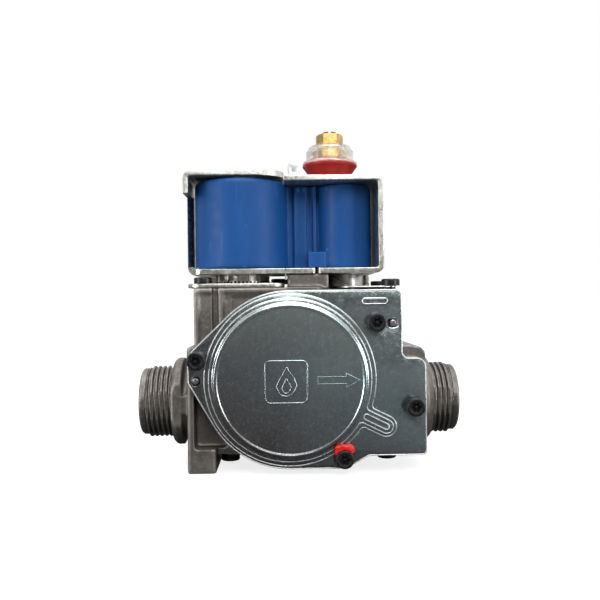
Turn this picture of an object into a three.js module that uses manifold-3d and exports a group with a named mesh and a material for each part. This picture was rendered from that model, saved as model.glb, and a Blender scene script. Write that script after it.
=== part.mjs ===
// Multifunction gas control valve of a domestic boiler: a die-cast body with two threaded ports, a pressed
// diaphragm cover, a double solenoid coil in a steel yoke and, behind it, a pressure regulator with its coil.
// Millimetres. Every part is drawn in the port frame: X along the ports (inlet at -X), Y towards the back,
// Z up, zero on the port axis midway between the port faces. The group moves that to the centre of the base.
import * as THREE from "three";
import { mergeVertices } from "three/addons/utils/BufferGeometryUtils.js";
import Module from "manifold-3d";

const wasm = await Module();
wasm.setup();

// ---------------------------------------------------------------- driving dimensions
const PORT_FACE = 58.5; // port end faces, from the middle
const THREAD_R = 13.22; // G 3/4 parallel pipe thread
const THREAD_ROOT_R = 12.06;
const THREAD_PITCH = 1.814;
const PILOT = 2.6; // plain end in front of the thread
const BORE_R = 9;
const SHEET = 1.6; // diaphragm cover sheet
const GAP = 0.05; // between parts that rest on each other

const BODY = { left: -37.4, right: 35.3, front: -17, back: 20, bottom: -17.2, top: 41.2 };
const STEP = { left: -39.5, right: 45.2, top: 21 }; // wider lower half of the casting
const SEAT_Y = -21.5; // face that carries the diaphragm
const FOOT = { left: -39.9, right: -29.8, front: -20.5, back: 15, bottom: -23.4 };

const DOME = { x: -3.5, z: 9.8, r: 26.3, flangeR: 31.1, height: 4.6 };
const DIAPHRAGM = 1.25; // thickness of the rubber at its rim
const COVER_BACK = SEAT_Y - DIAPHRAGM - 2 * GAP;
const COVER_FRONT = COVER_BACK - SHEET;
const FRONT = COVER_FRONT - DOME.height;

const EV1 = { x: -20.9, y: 1, coilR: 17.6, chamberR: 9, seatZ: 3, tubeR: 7, plateTop: 43.7 };
const EV2 = { x: 18, y: 1, coilR: 10.1, chamberR: 5.5, seatZ: 22, tubeR: 4.6, plateTop: 42.2 };
const COIL = { bottom: 49.1, leftTop: 81.6, rightTop: 80.1 };
const YOKE = { seam: -5, left: -41.2, right: 31, front: -15.8, back: 16, sheet: 2, bottom: 46.9, top: 84.4 };
const YOKE_NOTCH = { y: -2.2, low: 45, high: 76.2, x: -38 }; // cut-out in the front of the left strip's wall

const REG = { x: 15.2, y: 37.5, r: 17, blockTop: 22, housingTop: 31 }; // regulator and modulator axis
const BACK = REG.y + REG.r;
const MOD = { halfWidth: 15, halfDepth: 13, yokeTop: 88, flangeR: 11.7, flangeBottom: 93.9, flangeTop: 95.2 };

const STEEL = { color: 0xb9bcb4, roughness: 0.35, metalness: 0.9 };
const CASTING = { color: 0x5d5853, roughness: 0.55, metalness: 0.8 };
const BLACK = { color: 0x18181a, roughness: 0.45, metalness: 0.3 };
const BLUE = { color: 0x1f4f94, roughness: 0.4, metalness: 0 };
const RED = { color: 0xb0201c, roughness: 0.45, metalness: 0 };
const BRASS = { color: 0xc8a24c, roughness: 0.25, metalness: 1 };
const RUBBER = { color: 0x222222, roughness: 0.9, metalness: 0 };
const CLEAR = { color: 0xe6e6e6, roughness: 0.2, metalness: 0 };
const TIN = { color: 0xcfd2d4, roughness: 0.3, metalness: 1 };
const IRON = { color: 0x8d9093, roughness: 0.3, metalness: 1 };

const valve = new THREE.Group();
valve.position.set(0, -(FRONT + BACK) / 2, -FOOT.bottom);

// ---------------------------------------------------------------- solids
// A closed geometry as a manifold-3d solid, with its faces turned outwards.
function solid(geometry) {
  const g = geometry.clone();
  g.deleteAttribute("normal");
  g.deleteAttribute("uv");
  const merged = mergeVertices(g, 1e-4);
  const triVerts = new Uint32Array(merged.index.array);
  const vertProperties = merged.attributes.position.array;
  const made = new wasm.Manifold(new wasm.Mesh({ numProp: 3, vertProperties, triVerts }));
  if (made.volume() > 0) return made;
  for (let i = 0; i < triVerts.length; i += 3) {
    [triVerts[i + 1], triVerts[i + 2]] = [triVerts[i + 2], triVerts[i + 1]];
  }
  return new wasm.Manifold(new wasm.Mesh({ numProp: 3, vertProperties, triVerts }));
}

function block(x0, x1, y0, y1, z0, z1) {
  const g = new THREE.BoxGeometry(x1 - x0, y1 - y0, z1 - z0);
  return solid(g.translate((x0 + x1) / 2, (y0 + y1) / 2, (z0 + z1) / 2));
}

// A turned part: [radius, height] points, about the Z axis at x, y.
function turned(points, segments, x = 0, y = 0) {
  const profile = points.map(([r, h]) => new THREE.Vector2(r, h));
  const g = new THREE.LatheGeometry(profile, segments).rotateX(Math.PI / 2);
  return solid(g.translate(x, y, 0));
}

function rod(r, z0, z1, segments, x = 0, y = 0) {
  return turned([[0, z0], [r, z0], [r, z1], [0, z1]], segments, x, y);
}

function tube(inner, outer, z0, z1, segments, x = 0, y = 0) {
  return turned([[inner, z0], [outer, z0], [outer, z1], [inner, z1], [inner, z0]], segments, x, y);
}

// The same turned part laid along X or Y: its height becomes that coordinate.
const alongX = (part, y = 0, z = 0) => part.rotate([0, 90, 0]).translate([0, y, z]);
const alongY = (part, x = 0, z = 0) => part.rotate([-90, 0, 0]).translate([x, 0, z]);

// A flat outline in X and Z, given depth from y0 to y1.
function slabY(shape, y0, y1, curveSegments = 10) {
  const g = new THREE.ExtrudeGeometry(shape, { depth: y1 - y0, bevelEnabled: false, curveSegments });
  return solid(g.rotateX(Math.PI / 2).translate(0, y1, 0));
}

// A flat outline in X and Y, given height from z0 to z1.
function slabZ(shape, z0, z1, curveSegments = 10) {
  const g = new THREE.ExtrudeGeometry(shape, { depth: z1 - z0, bevelEnabled: false, curveSegments });
  return solid(g.translate(0, 0, z0));
}

// Adds one solid to the valve as a named node.
function piece(name, made, finish) {
  const mesh = made.getMesh();
  const g = new THREE.BufferGeometry();
  g.setAttribute("position", new THREE.BufferAttribute(mesh.vertProperties, 3));
  g.setIndex(new THREE.BufferAttribute(mesh.triVerts, 1));
  const flat = g.toNonIndexed();
  flat.computeVertexNormals();
  const node = new THREE.Mesh(flat, new THREE.MeshStandardMaterial(finish));
  node.name = name;
  valve.add(node);
}

// ---------------------------------------------------------------- outlines
// A rounded rectangle about cx, cy.
function roundedRect(cx, cy, width, height, r) {
  const s = new THREE.Shape();
  const [x0, x1, y0, y1] = [cx - width / 2, cx + width / 2, cy - height / 2, cy + height / 2];
  s.moveTo(x0 + r, y0);
  s.lineTo(x1 - r, y0);
  s.absarc(x1 - r, y0 + r, r, -Math.PI / 2, 0, false);
  s.lineTo(x1, y1 - r);
  s.absarc(x1 - r, y1 - r, r, 0, Math.PI / 2, false);
  s.lineTo(x0 + r, y1);
  s.absarc(x0 + r, y1 - r, r, Math.PI / 2, Math.PI, false);
  s.lineTo(x0, y0 + r);
  s.absarc(x0 + r, y0 + r, r, Math.PI, 1.5 * Math.PI, false);
  return s;
}

// A six-lobed driver recess, as a star of twelve points.
function starShape(outer, inner) {
  const s = new THREE.Shape();
  for (let i = 0; i < 12; i++) {
    const r = i % 2 ? inner : outer;
    const a = (i * Math.PI) / 6;
    s[i ? "lineTo" : "moveTo"](r * Math.cos(a), r * Math.sin(a));
  }
  return s.closePath() ?? s;
}

function hexShape(acrossFlats, turn = 0) {
  const s = new THREE.Shape();
  const r = acrossFlats / Math.sqrt(3);
  for (let i = 0; i < 6; i++) {
    const a = turn + (i * Math.PI) / 3;
    s[i ? "lineTo" : "moveTo"](r * Math.cos(a), r * Math.sin(a));
  }
  return s;
}

// The outline of the pressed cover in X and Z. inset shrinks it, for the casting behind.
const EAR = { x: -39.1, low: 9.1, high: 17, tipX: -37.7, tipZ: 20 };
const WING = {
  right: 35.8, top: 40.8, shelf: 16.9, lowRight: 44, bottom: -17.1, lugX: 14.9, lugZ: -17.5, lugR: 3.9,
};
function coverShape(inset = 0) {
  const r = DOME.flangeR - inset;
  // The angle, about the dome, where a straight line from an outside point touches the flange circle.
  const touch = (px, pz, side) => {
    const [dx, dz] = [px - DOME.x, pz - DOME.z];
    return Math.atan2(dz, dx) + side * Math.acos(r / Math.hypot(dx, dz));
  };
  const s = new THREE.Shape();
  const k = inset;
  s.moveTo(WING.lugX, WING.lugZ - WING.lugR + k);
  s.absarc(WING.lugX, WING.lugZ, WING.lugR - k, -Math.PI / 2, -Math.PI / 4, false);
  s.lineTo(WING.lugX + 8.6, WING.bottom + k);
  s.lineTo(WING.lowRight - 1.2 - k, WING.bottom + k);
  s.lineTo(WING.lowRight - k, WING.bottom + 1.2 + k);
  s.lineTo(WING.lowRight - k, WING.shelf - 3.4 - k);
  s.absarc(WING.lowRight - 3.4 - k, WING.shelf - 3.4 - k, 3.4, 0, Math.PI / 2, false);
  s.lineTo(WING.right + 2 - k, WING.shelf - k);
  s.absarc(WING.right + 2 - k, WING.shelf + 2 - k, 2, -Math.PI / 2, Math.PI, true);
  s.lineTo(WING.right - k, WING.top - 2.8 - k);
  s.absarc(WING.right - 2.8 - k, WING.top - 2.8 - k, 2.8, 0, Math.PI / 2, false);
  s.lineTo(DOME.x, DOME.z + r);
  s.absarc(DOME.x, DOME.z, r, Math.PI / 2, touch(EAR.tipX + k, EAR.tipZ, -1), false);
  s.lineTo(EAR.tipX + k, EAR.tipZ);
  s.lineTo(EAR.x + k, EAR.high);
  s.lineTo(EAR.x + k, EAR.low);
  s.absarc(DOME.x, DOME.z, r, touch(EAR.x + k, EAR.low, 1), 1.5 * Math.PI, false);
  return s;
}

// ---------------------------------------------------------------- screws
// A round-headed screw with a six-lobed recess: head on z = 0 upwards, shank below.
function screw(headR, headH, shankR, shankL) {
  const turnedBody = turned(
    [[0, -shankL], [shankR, -shankL], [shankR, 0], [headR, 0], [headR, headH - 0.5], [headR - 0.5, headH],
      [0, headH]],
    10,
  );
  return turnedBody.subtract(slabZ(starShape(headR * 0.58, headR * 0.4), headH - 1.6, headH + 1));
}
const facingFront = (made, x, y, z) => made.rotate([90, 0, 0]).translate([x, y, z]);
const facingDown = (made, x, y, z) => made.rotate([180, 0, 0]).translate([x, y, z]);

const COVER_SCREWS = {
  left: [-35.7, 16.9], top: [26.5, 29.4], right: [39.6, 0.1], bottom: [WING.lugX, WING.lugZ],
};
const PINS = { left: [-36.2, 9.7], right: [32.5, 29.1] };
const SHANK_R = 1.75;
const HOLE_R = 1.85;
const SHANK_L = 9;
for (const [side, [x, z]] of Object.entries(COVER_SCREWS)) {
  piece("cover_screw_" + side, facingFront(screw(3.2, 4.2, SHANK_R, SHANK_L), x, COVER_FRONT - GAP, z), BLACK);
}

const EV1_SCREWS = [[-34.4, -13], [-7, 15]];
const EV2_SCREWS = [[33.2, -14.7], [33.2, 17.5]];
const BOTTOM_SCREWS = [[-25.6, -7.8], [32, -7.8], [-2, 15.2]];
const BOTTOM_COVER = { x0: -29.2, x1: 36.5, y0: -11.8, y1: 19, sheet: 1.4 };
EV1_SCREWS.forEach(([x, y], i) => {
  piece(`ev1_screw_${i + 1}`, screw(3.3, 2.2, SHANK_R, 8).translate([x, y, EV1.plateTop + GAP]), BLACK);
});
EV2_SCREWS.forEach(([x, y], i) => {
  piece(`ev2_screw_${i + 1}`, screw(3.3, 2.4, SHANK_R, 8).translate([x, y, EV2.plateTop + GAP]), BLACK);
});
const BOTTOM_FACE = BODY.bottom - BOTTOM_COVER.sheet - GAP;
BOTTOM_SCREWS.forEach(([x, y], i) => {
  piece(`bottom_screw_${i + 1}`, facingDown(screw(3.4, 2.4, SHANK_R, 8), x, y, BOTTOM_FACE - GAP), BLACK);
});

// ---------------------------------------------------------------- casting
// One threaded port, drawn along +Z with its face at the top, from z0.
function threadedPort(z0, z1) {
  const first = z1 - PILOT;
  const last = z0;
  const turns = Math.floor((first - last) / THREAD_PITCH);
  const start = first - turns * THREAD_PITCH;
  const points = [[0, z0], [THREAD_ROOT_R, z0], [THREAD_ROOT_R, start]];
  for (let i = 0; i < turns; i++) {
    const z = start + i * THREAD_PITCH;
    points.push([THREAD_R, z + THREAD_PITCH / 2], [THREAD_ROOT_R, z + THREAD_PITCH]);
  }
  points.push([THREAD_ROOT_R, z1 - 0.6], [THREAD_ROOT_R - 0.6, z1], [0, z1]);
  const flats = block(-20, 20, -12.5, 12.5, z0 - 1, z1 + 1).rotate([0, 0, 90]);
  return turned(points, 20).intersect(flats);
}

function casting() {
  let body = block(BODY.left, BODY.right, BODY.front, BODY.back, 0, BODY.top);
  const add = (made) => (body = body.add(made));
  const cut = (made) => (body = body.subtract(made));
  add(block(BODY.left, 8, BODY.front, BODY.back, 30, BODY.top + 0.8));
  add(block(STEP.left, BODY.right, BODY.front, BODY.back, BODY.bottom, STEP.top));
  const shoulder = new THREE.Shape(
    [[30, BODY.bottom], [STEP.right, BODY.bottom], [STEP.right, 19.3], [39, 20.9], [30, 20.9]]
    .map(([x, z]) => new THREE.Vector2(x, z)));
  add(slabY(shoulder, BODY.front, BODY.back));
  add(slabY(coverShape(0.7), SEAT_Y, BODY.front + 1, 5));
  add(block(FOOT.left, FOOT.right, FOOT.front, FOOT.back, FOOT.bottom, STEP.top));
  // central post under the coil yoke
  add(block(-3.9, 11, -14.2, 10, 38, YOKE.bottom - GAP));
  // regulator block behind
  add(rod(REG.r - 0.6, -8, REG.blockTop, 28, REG.x, REG.y));
  add(block(REG.x - 9, REG.x + 14, BODY.back - 1, REG.y, -8, REG.blockTop - 2));
  // bosses for the pressure test points
  for (const [x, y] of TEST_POINTS) add(block(x - 5.4, x + 5.4, BODY.back - 1, y + 5.4, 4, 18));
  // inlet: neck, collar and thread; outlet: boss and thread
  const inlet = turned(
    [[0, 32], [13.6, 32], [13.6, 42.4], [16.2, 42.4], [16.2, 45.4], [15.2, 46.6], [0, 46.6]], 24);
  const collarFlats = block(-20, 20, -14, 14, 30, 50).rotate([0, 0, 90]);
  const inletPort = inlet.intersect(collarFlats).add(threadedPort(46, PORT_FACE));
  add(inletPort.rotate([0, -90, 0]));
  const outlet = turned([[0, 38], [16.7, 38], [16.7, 46.7], [14.6, 48.9], [0, 48.9]], 24);
  add(outlet.add(threadedPort(48, PORT_FACE)).rotate([0, 90, 0]));
  add(alongY(rod(3.7, SEAT_Y, -12, 14), WING.lugX, WING.lugZ));
  // locating pins for the cover
  for (const [x, z] of Object.values(PINS)) {
    add(alongY(rod(1.15, COVER_FRONT - 0.4, BODY.front, 10), x, z));
  }
  // pocket in the foot and ribs on the front
  cut(block(FOOT.left + 2.6, FOOT.right + 4, FOOT.front - 1, FOOT.front + 7, -14.7, 6));
  cut(block(-31, -28.7, BODY.front - 1, BODY.front + 1.4, STEP.top + 1, BODY.top + 2));
  // inlet path: bore, chamber of the first solenoid, its seat and the way to the main valve
  cut(alongX(rod(BORE_R, -PORT_FACE - 1, -31, 20)));
  cut(block(-34, EV1.x, -5.5, 5.5, EV1.seatZ, 8.5));
  cut(rod(EV1.chamberR, EV1.seatZ, BODY.top + 3, 20, EV1.x, EV1.y));
  cut(rod(5.5, -5, EV1.seatZ + 1, 16, EV1.x, EV1.y));
  cut(block(EV1.x - 5, EV1.x + 5, EV1.y - 6, 15, BODY.bottom - 1, -4));
  cut(block(EV1.x, 1, 10.5, 15, BODY.bottom - 1, -7));
  cut(block(-7, 1, 10.5, 15, -8, 6));
  cut(alongY(rod(9.4, BODY.back, BACK + 1, 20), DOME.x, DOME.z)); // room for the rear plug
  // main valve: upstream chamber, seat, outlet chamber and bore
  cut(alongY(rod(7.5, 5, BODY.back + 1, 20), DOME.x, DOME.z));
  cut(alongY(rod(6, SEAT_Y, 6, 20), DOME.x, DOME.z));
  cut(alongY(rod(25, SEAT_Y - 1, -13.5, 32), DOME.x, DOME.z));
  cut(block(-4, 8, -9, 3, -6, DOME.z));
  cut(alongX(rod(BORE_R, 6, PORT_FACE + 1, 20)));
  // second solenoid and its servo drillings
  const drill = 1.1;
  cut(rod(EV2.chamberR, EV2.seatZ, BODY.top + 3, 16, EV2.x, EV2.y));
  cut(rod(1.4, 17, EV2.seatZ + 1, 8, EV2.x, EV2.y));
  cut(alongY(rod(drill, -11.2, EV2.y, 8), EV2.x, 18));
  cut(alongX(rod(drill, EV2.x - 1, 30.5 + drill, 8), -11.2, 18));
  cut(rod(drill, -7, 18 + drill, 8, 30.5, -11.2));
  cut(alongY(rod(drill, SEAT_Y - 1, -11.2, 8), 30.5, -7));
  cut(alongY(rod(drill, EV2.y, REG.y + 2, 8), EV2.x - 2, 18));
  // regulator chamber
  cut(rod(12, REG.blockTop - 4, REG.blockTop + 1, 20, REG.x, REG.y));
  cut(rod(1.6, 16, REG.blockTop, 8, REG.x, REG.y));
  // screw holes
  for (const [x, z] of Object.values(COVER_SCREWS)) {
    cut(alongY(rod(HOLE_R, SEAT_Y - 1, SEAT_Y + SHANK_L + 1, 10), x, z));
  }
  for (const [x, y] of [...EV1_SCREWS, ...EV2_SCREWS]) cut(rod(HOLE_R, BODY.top - 9, BODY.top + 3, 10, x, y));
  for (const [x, y] of BOTTOM_SCREWS) cut(rod(HOLE_R, BODY.bottom - 1, BODY.bottom + 9, 10, x, y));
  for (const [x, y] of TEST_POINTS) cut(rod(3.1, 10, 19, 12, x, y));
  cut(rod(HOLE_R, 30, YOKE.bottom + 1, 10, COIL_SCREW.x, COIL_SCREW.y));
  for (const [x, y] of REG_SCREWS) cut(rod(1.3, REG.blockTop - 7, REG.blockTop + 1, 10, x, y));
  return body;
}
const TEST_POINTS = [[-24, 25.5], [37.5, 25.5]];
const COIL_SCREW = { x: 2, y: 5.5 };
const REG_SCREWS = [0, 180].map((deg) => {
  const a = (deg * Math.PI) / 180;
  return [REG.x + 14.2 * Math.cos(a), REG.y + 14.2 * Math.sin(a)];
});
piece("valve_body", casting(), CASTING);

// Cup of fine mesh in the inlet bore, modelled as its outer shape.
const strainer = turned(
  [[0, 40], [5.6, 40], [8.7, 50], [8.7, 53], [7.9, 53], [7.9, 50], [5, 40.8], [0, 40.8]], 18);
piece("inlet_strainer", strainer.rotate([0, -90, 0]), IRON);

// ---------------------------------------------------------------- diaphragm cover
// The round dome is turned about Y, drawn here about Z with height measured out of the sheet.
function coverPressing() {
  const t = SHEET;
  const [r, h] = [DOME.r, DOME.height];
  const outer = [[29.9, 0], [29, 1.2], [27.4, 1], [26.9, h - 0.8], [r - 0.5, h], [r - 1.8, h - 0.35]];
  const domeProfile = [
    [0, h - 0.35], ...outer.slice().reverse(), [29.9, -t], [25, -t], [24.6, h - t - 0.5], [0, h - t - 0.5]];
  const dome = turned(domeProfile, 36).rotate([90, 0, 0]).translate([DOME.x, COVER_FRONT, DOME.z]);
  let sheet = slabY(coverShape(), COVER_FRONT, COVER_BACK, 7);
  sheet = sheet.subtract(alongY(rod(29, COVER_FRONT - 1, COVER_BACK + 1, 36), DOME.x, DOME.z));
  sheet = sheet.add(dome);
  // radial pressed channel that feeds the space behind the dome
  const channel = (halfWidth, from, to, y0, y1) => {
    const s = new THREE.Shape();
    s.moveTo(from, -halfWidth);
    s.lineTo(to, -halfWidth);
    s.absarc(to, 0, halfWidth, -Math.PI / 2, Math.PI / 2, false);
    s.lineTo(from, halfWidth);
    return slabY(s, y0, y1, 6).rotate([0, 26.5, 0]).translate([DOME.x, 0, DOME.z]);
  };
  sheet = sheet.add(channel(3.9, 25.8, 37, COVER_FRONT - 0.7, COVER_FRONT + 0.2));
  sheet = sheet.add(channel(2.9, 25.6, 37, COVER_FRONT - 1.5, COVER_FRONT));
  sheet = sheet.subtract(channel(1, 28.4, 37.6, COVER_FRONT - 2, COVER_FRONT - 0.9));
  sheet = sheet.subtract(channel(1.4, 24, 35.5, COVER_FRONT + 0.5, COVER_BACK + 1));
  // raised pill, locating holes and screw holes
  sheet = sheet.add(slabY(roundedRect(26.2, 36.8, 9, 2.4, 1.15), COVER_FRONT - 0.6, COVER_FRONT + 0.2, 4));
  const pinHole = (x, z, width) => slabY(roundedRect(x, z, width, 3, 1.45), COVER_FRONT - 1, COVER_BACK + 1, 4);
  sheet = sheet.subtract(pinHole(...PINS.left, 3)).subtract(pinHole(...PINS.right, 4));
  for (const [x, z] of Object.values(COVER_SCREWS)) {
    sheet = sheet.subtract(alongY(rod(HOLE_R, COVER_FRONT - 1, COVER_BACK + 1, 12), x, z));
  }
  return sheet;
}
piece("diaphragm_cover", coverPressing(), STEEL);

// Red tamper seal: a drop of lacquer on the pressed ring, against the upper side of the bottom cover screw.
const sealShape = roundedRect(WING.lugX - 0.3, WING.lugZ + 3.1, 6.6, 4.2, 0.8);
const seal = slabY(sealShape, COVER_FRONT - 3.7, COVER_FRONT - 1.3, 4)
  .subtract(alongY(rod(28, COVER_FRONT - 5, COVER_FRONT + 1, 44), DOME.x, DOME.z))
  .subtract(alongY(rod(3.3, COVER_FRONT - 5, COVER_FRONT + 1, 14), WING.lugX, WING.lugZ));
piece("tamper_seal", seal, RED);

// ---------------------------------------------------------------- diaphragm and main valve
const aboutDome = (made) => made.rotate([-90, 0, 0]).translate([DOME.x, 0, DOME.z]);
const rimY = SEAT_Y - GAP;
const rubberDisc = aboutDome(turned(
  [[3.1, rimY], [19.6, rimY], [21.8, rimY + 2.2], [23.6, rimY + 2.2], [24.8, rimY], [29, rimY],
    [29, rimY - DIAPHRAGM], [24, rimY - DIAPHRAGM], [22.9, rimY + 1], [22.3, rimY + 1],
    [20.4, rimY - DIAPHRAGM],
    [3.1, rimY - DIAPHRAGM], [3.1, rimY]], 24));
piece("main_diaphragm", rubberDisc, RUBBER);
piece("diaphragm_plate", aboutDome(tube(2.6, 18.5, rimY + GAP, rimY + 1.6, 24)), TIN);
// Stem with its valve head: the head closes on the seat at y = 5 from behind and opens towards the back.
const poppet = aboutDome(turned(
  [[0, -24.2], [4.4, -24.2], [4.4, -22.9], [2.5, -22.9], [2.5, 5.1], [6.9, 5.1], [6.9, 7.6], [2.2, 7.6],
    [2.2, 10], [0, 10]],
  18));
piece("main_poppet", poppet, IRON);
const plug = aboutDome(turned([[0, 18], [7.4, 18], [7.4, 20.1], [9.2, 20.1], [9.2, 22.6], [0, 22.6]], 20))
  .subtract(aboutDome(slabZ(hexShape(6), 20.6, 24)));
piece("rear_plug", plug, BRASS);

// ---------------------------------------------------------------- coil springs
function spring(coilR, wireR, z0, z1, turns) {
  class Helix extends THREE.Curve {
    getPoint(t, target = new THREE.Vector3()) {
      const a = t * turns * 2 * Math.PI;
      return target.set(coilR * Math.cos(a), coilR * Math.sin(a), z0 + wireR + t * (z1 - z0 - 2 * wireR));
    }
  }
  const section = new THREE.Shape().absarc(0, 0, wireR, 0, 2 * Math.PI, false);
  const g = new THREE.ExtrudeGeometry(section, {
    steps: turns * 9, extrudePath: new Helix(), bevelEnabled: false, curveSegments: 2,
  });
  return solid(g);
}
piece("main_spring", aboutDome(spring(4.6, 0.45, 7.9, 17.7, 4)), STEEL);
piece("ev1_spring", spring(7, 0.45, 9.4, 41.3, 6).translate([EV1.x, EV1.y, 0]), STEEL);
piece("ev2_spring", spring(4, 0.35, 28.2, 39.8, 4).translate([EV2.x, EV2.y, 0]), STEEL);

// ---------------------------------------------------------------- solenoids
// Armature tube with its fixed pole and flange, and the armature that lifts inside it.
function armatureTube(ev, bore, top, flangeR, flangeZ) {
  const { x, y, tubeR } = ev;
  return turned(
    [[bore, flangeZ], [flangeR, flangeZ], [flangeR, flangeZ + 1.2], [tubeR, flangeZ + 1.2], [tubeR, top],
      [0, top], [0, top - 15], [bore, top - 15], [bore, flangeZ]], 18, x, y);
}
const TUBE_TOP = 80;
const EV1_FLANGE_Z = BODY.top + 0.8 + GAP;
const EV2_FLANGE_Z = BODY.top - 0.8;
piece("ev1_tube", armatureTube(EV1, 5.3, TUBE_TOP, 10.4, EV1_FLANGE_Z), IRON);
piece("ev2_tube", armatureTube(EV2, 3.2, TUBE_TOP - 2, EV2.chamberR - 0.3, EV2_FLANGE_Z), IRON);
const ev1Armature = turned(
  [[0, 5.6], [4.2, 5.6], [4.2, 7.4], [7.6, 7.4], [7.6, 9], [5, 9], [5, 60.5], [0, 60.5]], 18, EV1.x, EV1.y);
piece("ev1_armature", ev1Armature, IRON);
piece("ev1_valve_disc", tube(0.9, 7.4, EV1.seatZ + GAP, 5.5, 18, EV1.x, EV1.y), RUBBER);
const ev2Armature = turned(
  [[0, 24.2], [2.9, 24.2], [2.9, 26.5], [4.6, 26.5], [4.6, 27.9], [2.9, 27.9], [2.9, 60.5], [0, 60.5]],
  14, EV2.x, EV2.y);
piece("ev2_armature", ev2Armature, IRON);
piece("ev2_valve_pad", rod(2.6, EV2.seatZ + GAP, 24.1, 14, EV2.x, EV2.y), RUBBER);

// Flange plates that clamp the tubes to the casting.
const ev1Plate = slabZ(roundedRect(EV1.x - 1.6, 1, 35, 34, 5), EV1_FLANGE_Z + 0.2, EV1.plateTop, 5)
  .subtract(rod(10.7, 40, EV1_FLANGE_Z + 1.3, 20, EV1.x, EV1.y))
  .subtract(rod(7.3, 40, 50, 18, EV1.x, EV1.y))
  .add(block(-35, -11, 16.9, 18, EV1.plateTop - 1, YOKE.bottom)); // back edge turned up
const withHoles = (plate, holes) =>
  holes.reduce((made, [x, y]) => made.subtract(rod(HOLE_R, 30, 50, 10, x, y)), plate);
const clearOfPost = (plate) => plate.subtract(block(-3.4, 12, -14.4, 10.2, 30, 50));
piece("ev1_flange_plate", clearOfPost(withHoles(ev1Plate, EV1_SCREWS)), STEEL);
const ev2Plate = slabZ(roundedRect(24.8, 1.4, 20.6, 37, 5), BODY.top + GAP + 0.4, EV2.plateTop, 5)
  .subtract(rod(4.9, 40, 50, 14, EV2.x, EV2.y));
piece("ev2_flange_plate", withHoles(ev2Plate, EV2_SCREWS), STEEL);

// Slotted lock ring between the first tube's plate and the yoke, and the collar of the second.
let lockRing = tube(EV1.tubeR + 0.15, 8.8, EV1.plateTop + GAP, YOKE.bottom - GAP, 20, EV1.x, EV1.y);
for (let i = 0; i < 4; i++) {
  const slot = block(6, 10, -1.5, 1.5, EV1.plateTop + 0.5, YOKE.bottom - 0.6)
    .rotate([0, 0, 45 * (2 * i + 1) + 12]);
  lockRing = lockRing.subtract(slot.translate([EV1.x, EV1.y, 0]));
}
piece("ev1_lock_ring", lockRing, STEEL);
const collar = tube(EV2.tubeR + 0.15, 6.2, EV2.plateTop + GAP, YOKE.bottom - GAP, 18, EV2.x, EV2.y);
piece("ev2_collar", collar, IRON);

// Blue moulding over both windings, joined by a web that holds the clamp screw and the terminals.
function coilMoulding() {
  let m = rod(EV1.coilR, COIL.bottom, COIL.leftTop, 30, EV1.x, EV1.y);
  m = m.add(rod(EV2.coilR, COIL.bottom, COIL.rightTop, 22, EV2.x, EV2.y));
  m = m.add(block(-6, 9, -2, 12, COIL.bottom, COIL.rightTop));
  m = m.add(block(-1.1, 3.4, -3.4, 0, COIL.bottom, COIL.rightTop));
  m = m.add(block(5.9, 7.2, -3.4, 0, 54, COIL.rightTop));
  m = m.add(block(3.8, 10.6, -7.6, 0, COIL.bottom + 0.3, 55.1));
  m = m.add(block(-17, -1, 10, 22, 60, 72)); // terminal block at the back
  m = m.subtract(block(YOKE.seam - 0.3, 40, -20, 25, COIL.rightTop, 90));
  m = m.subtract(rod(EV1.tubeR + 0.25, COIL.bottom - 1, 90, 18, EV1.x, EV1.y));
  m = m.subtract(rod(EV2.tubeR + 0.25, COIL.bottom - 1, 90, 16, EV2.x, EV2.y));
  return m.subtract(rod(HOLE_R + 0.2, COIL.bottom - 1, 90, 10, COIL_SCREW.x, COIL_SCREW.y));
}
piece("coil_moulding", coilMoulding(), BLUE);
const TERMINALS = [-14, -9, -4];
TERMINALS.forEach((x, i) => {
  piece(`coil_terminal_${i + 1}`, block(x - 1.4, x + 1.4, 22 + GAP, 28.5, 65.6, 66.4), TIN);
});

// The yoke is two bent steel strips. The left one lies on top of the right one.
function yokeStrip(outline, tubes) {
  const s = new THREE.Shape(outline.map(([x, z]) => new THREE.Vector2(x, z)));
  let strip = slabY(s, YOKE.front, YOKE.back);
  for (const t of tubes) strip = strip.subtract(rod(t.tubeR + 0.25, 40, 90, 18, t.x, t.y));
  return strip.subtract(rod(HOLE_R, 40, 90, 10, COIL_SCREW.x, COIL_SCREW.y));
}
// The bent strip's outline: outside round, then inside back, with chamfered bends.
function bentStrip(wall, dir, topEnd, bottomEnd, top) {
  const [t, b] = [YOKE.sheet, YOKE.bottom];
  const out = (d) => wall + dir * d;
  return [
    [bottomEnd, b], [out(3), b], [out(0.9), b + 0.9], [wall, b + 3], [wall, top - 3], [out(0.9), top - 0.9],
    [out(3), top], [topEnd, top], [topEnd, top - t], [out(t + 0.5), top - t], [out(t), top - t - 0.5],
    [out(t), b + t + 0.5], [out(t + 0.5), b + t], [bottomEnd, b + t],
  ];
}
const notch = block(YOKE.left - 1, YOKE_NOTCH.x, YOKE.front - 1, YOKE_NOTCH.y, YOKE_NOTCH.low, YOKE_NOTCH.high);
const leftStrip = yokeStrip(bentStrip(YOKE.left, 1, YOKE.seam, 6.2, YOKE.top), [EV1]).subtract(notch);
piece("coil_yoke_left", leftStrip, STEEL);
piece("coil_yoke_right", yokeStrip(bentStrip(YOKE.right, -1, YOKE.seam, 7.1, YOKE.top - 2.05), [EV2]), STEEL);
const clampTop = YOKE.top - 2.05 + GAP;
const clampScrew = screw(3.3, 2.3, SHANK_R, clampTop - 38);
piece("coil_screw", clampScrew.translate([COIL_SCREW.x, COIL_SCREW.y, clampTop]), TIN);

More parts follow.
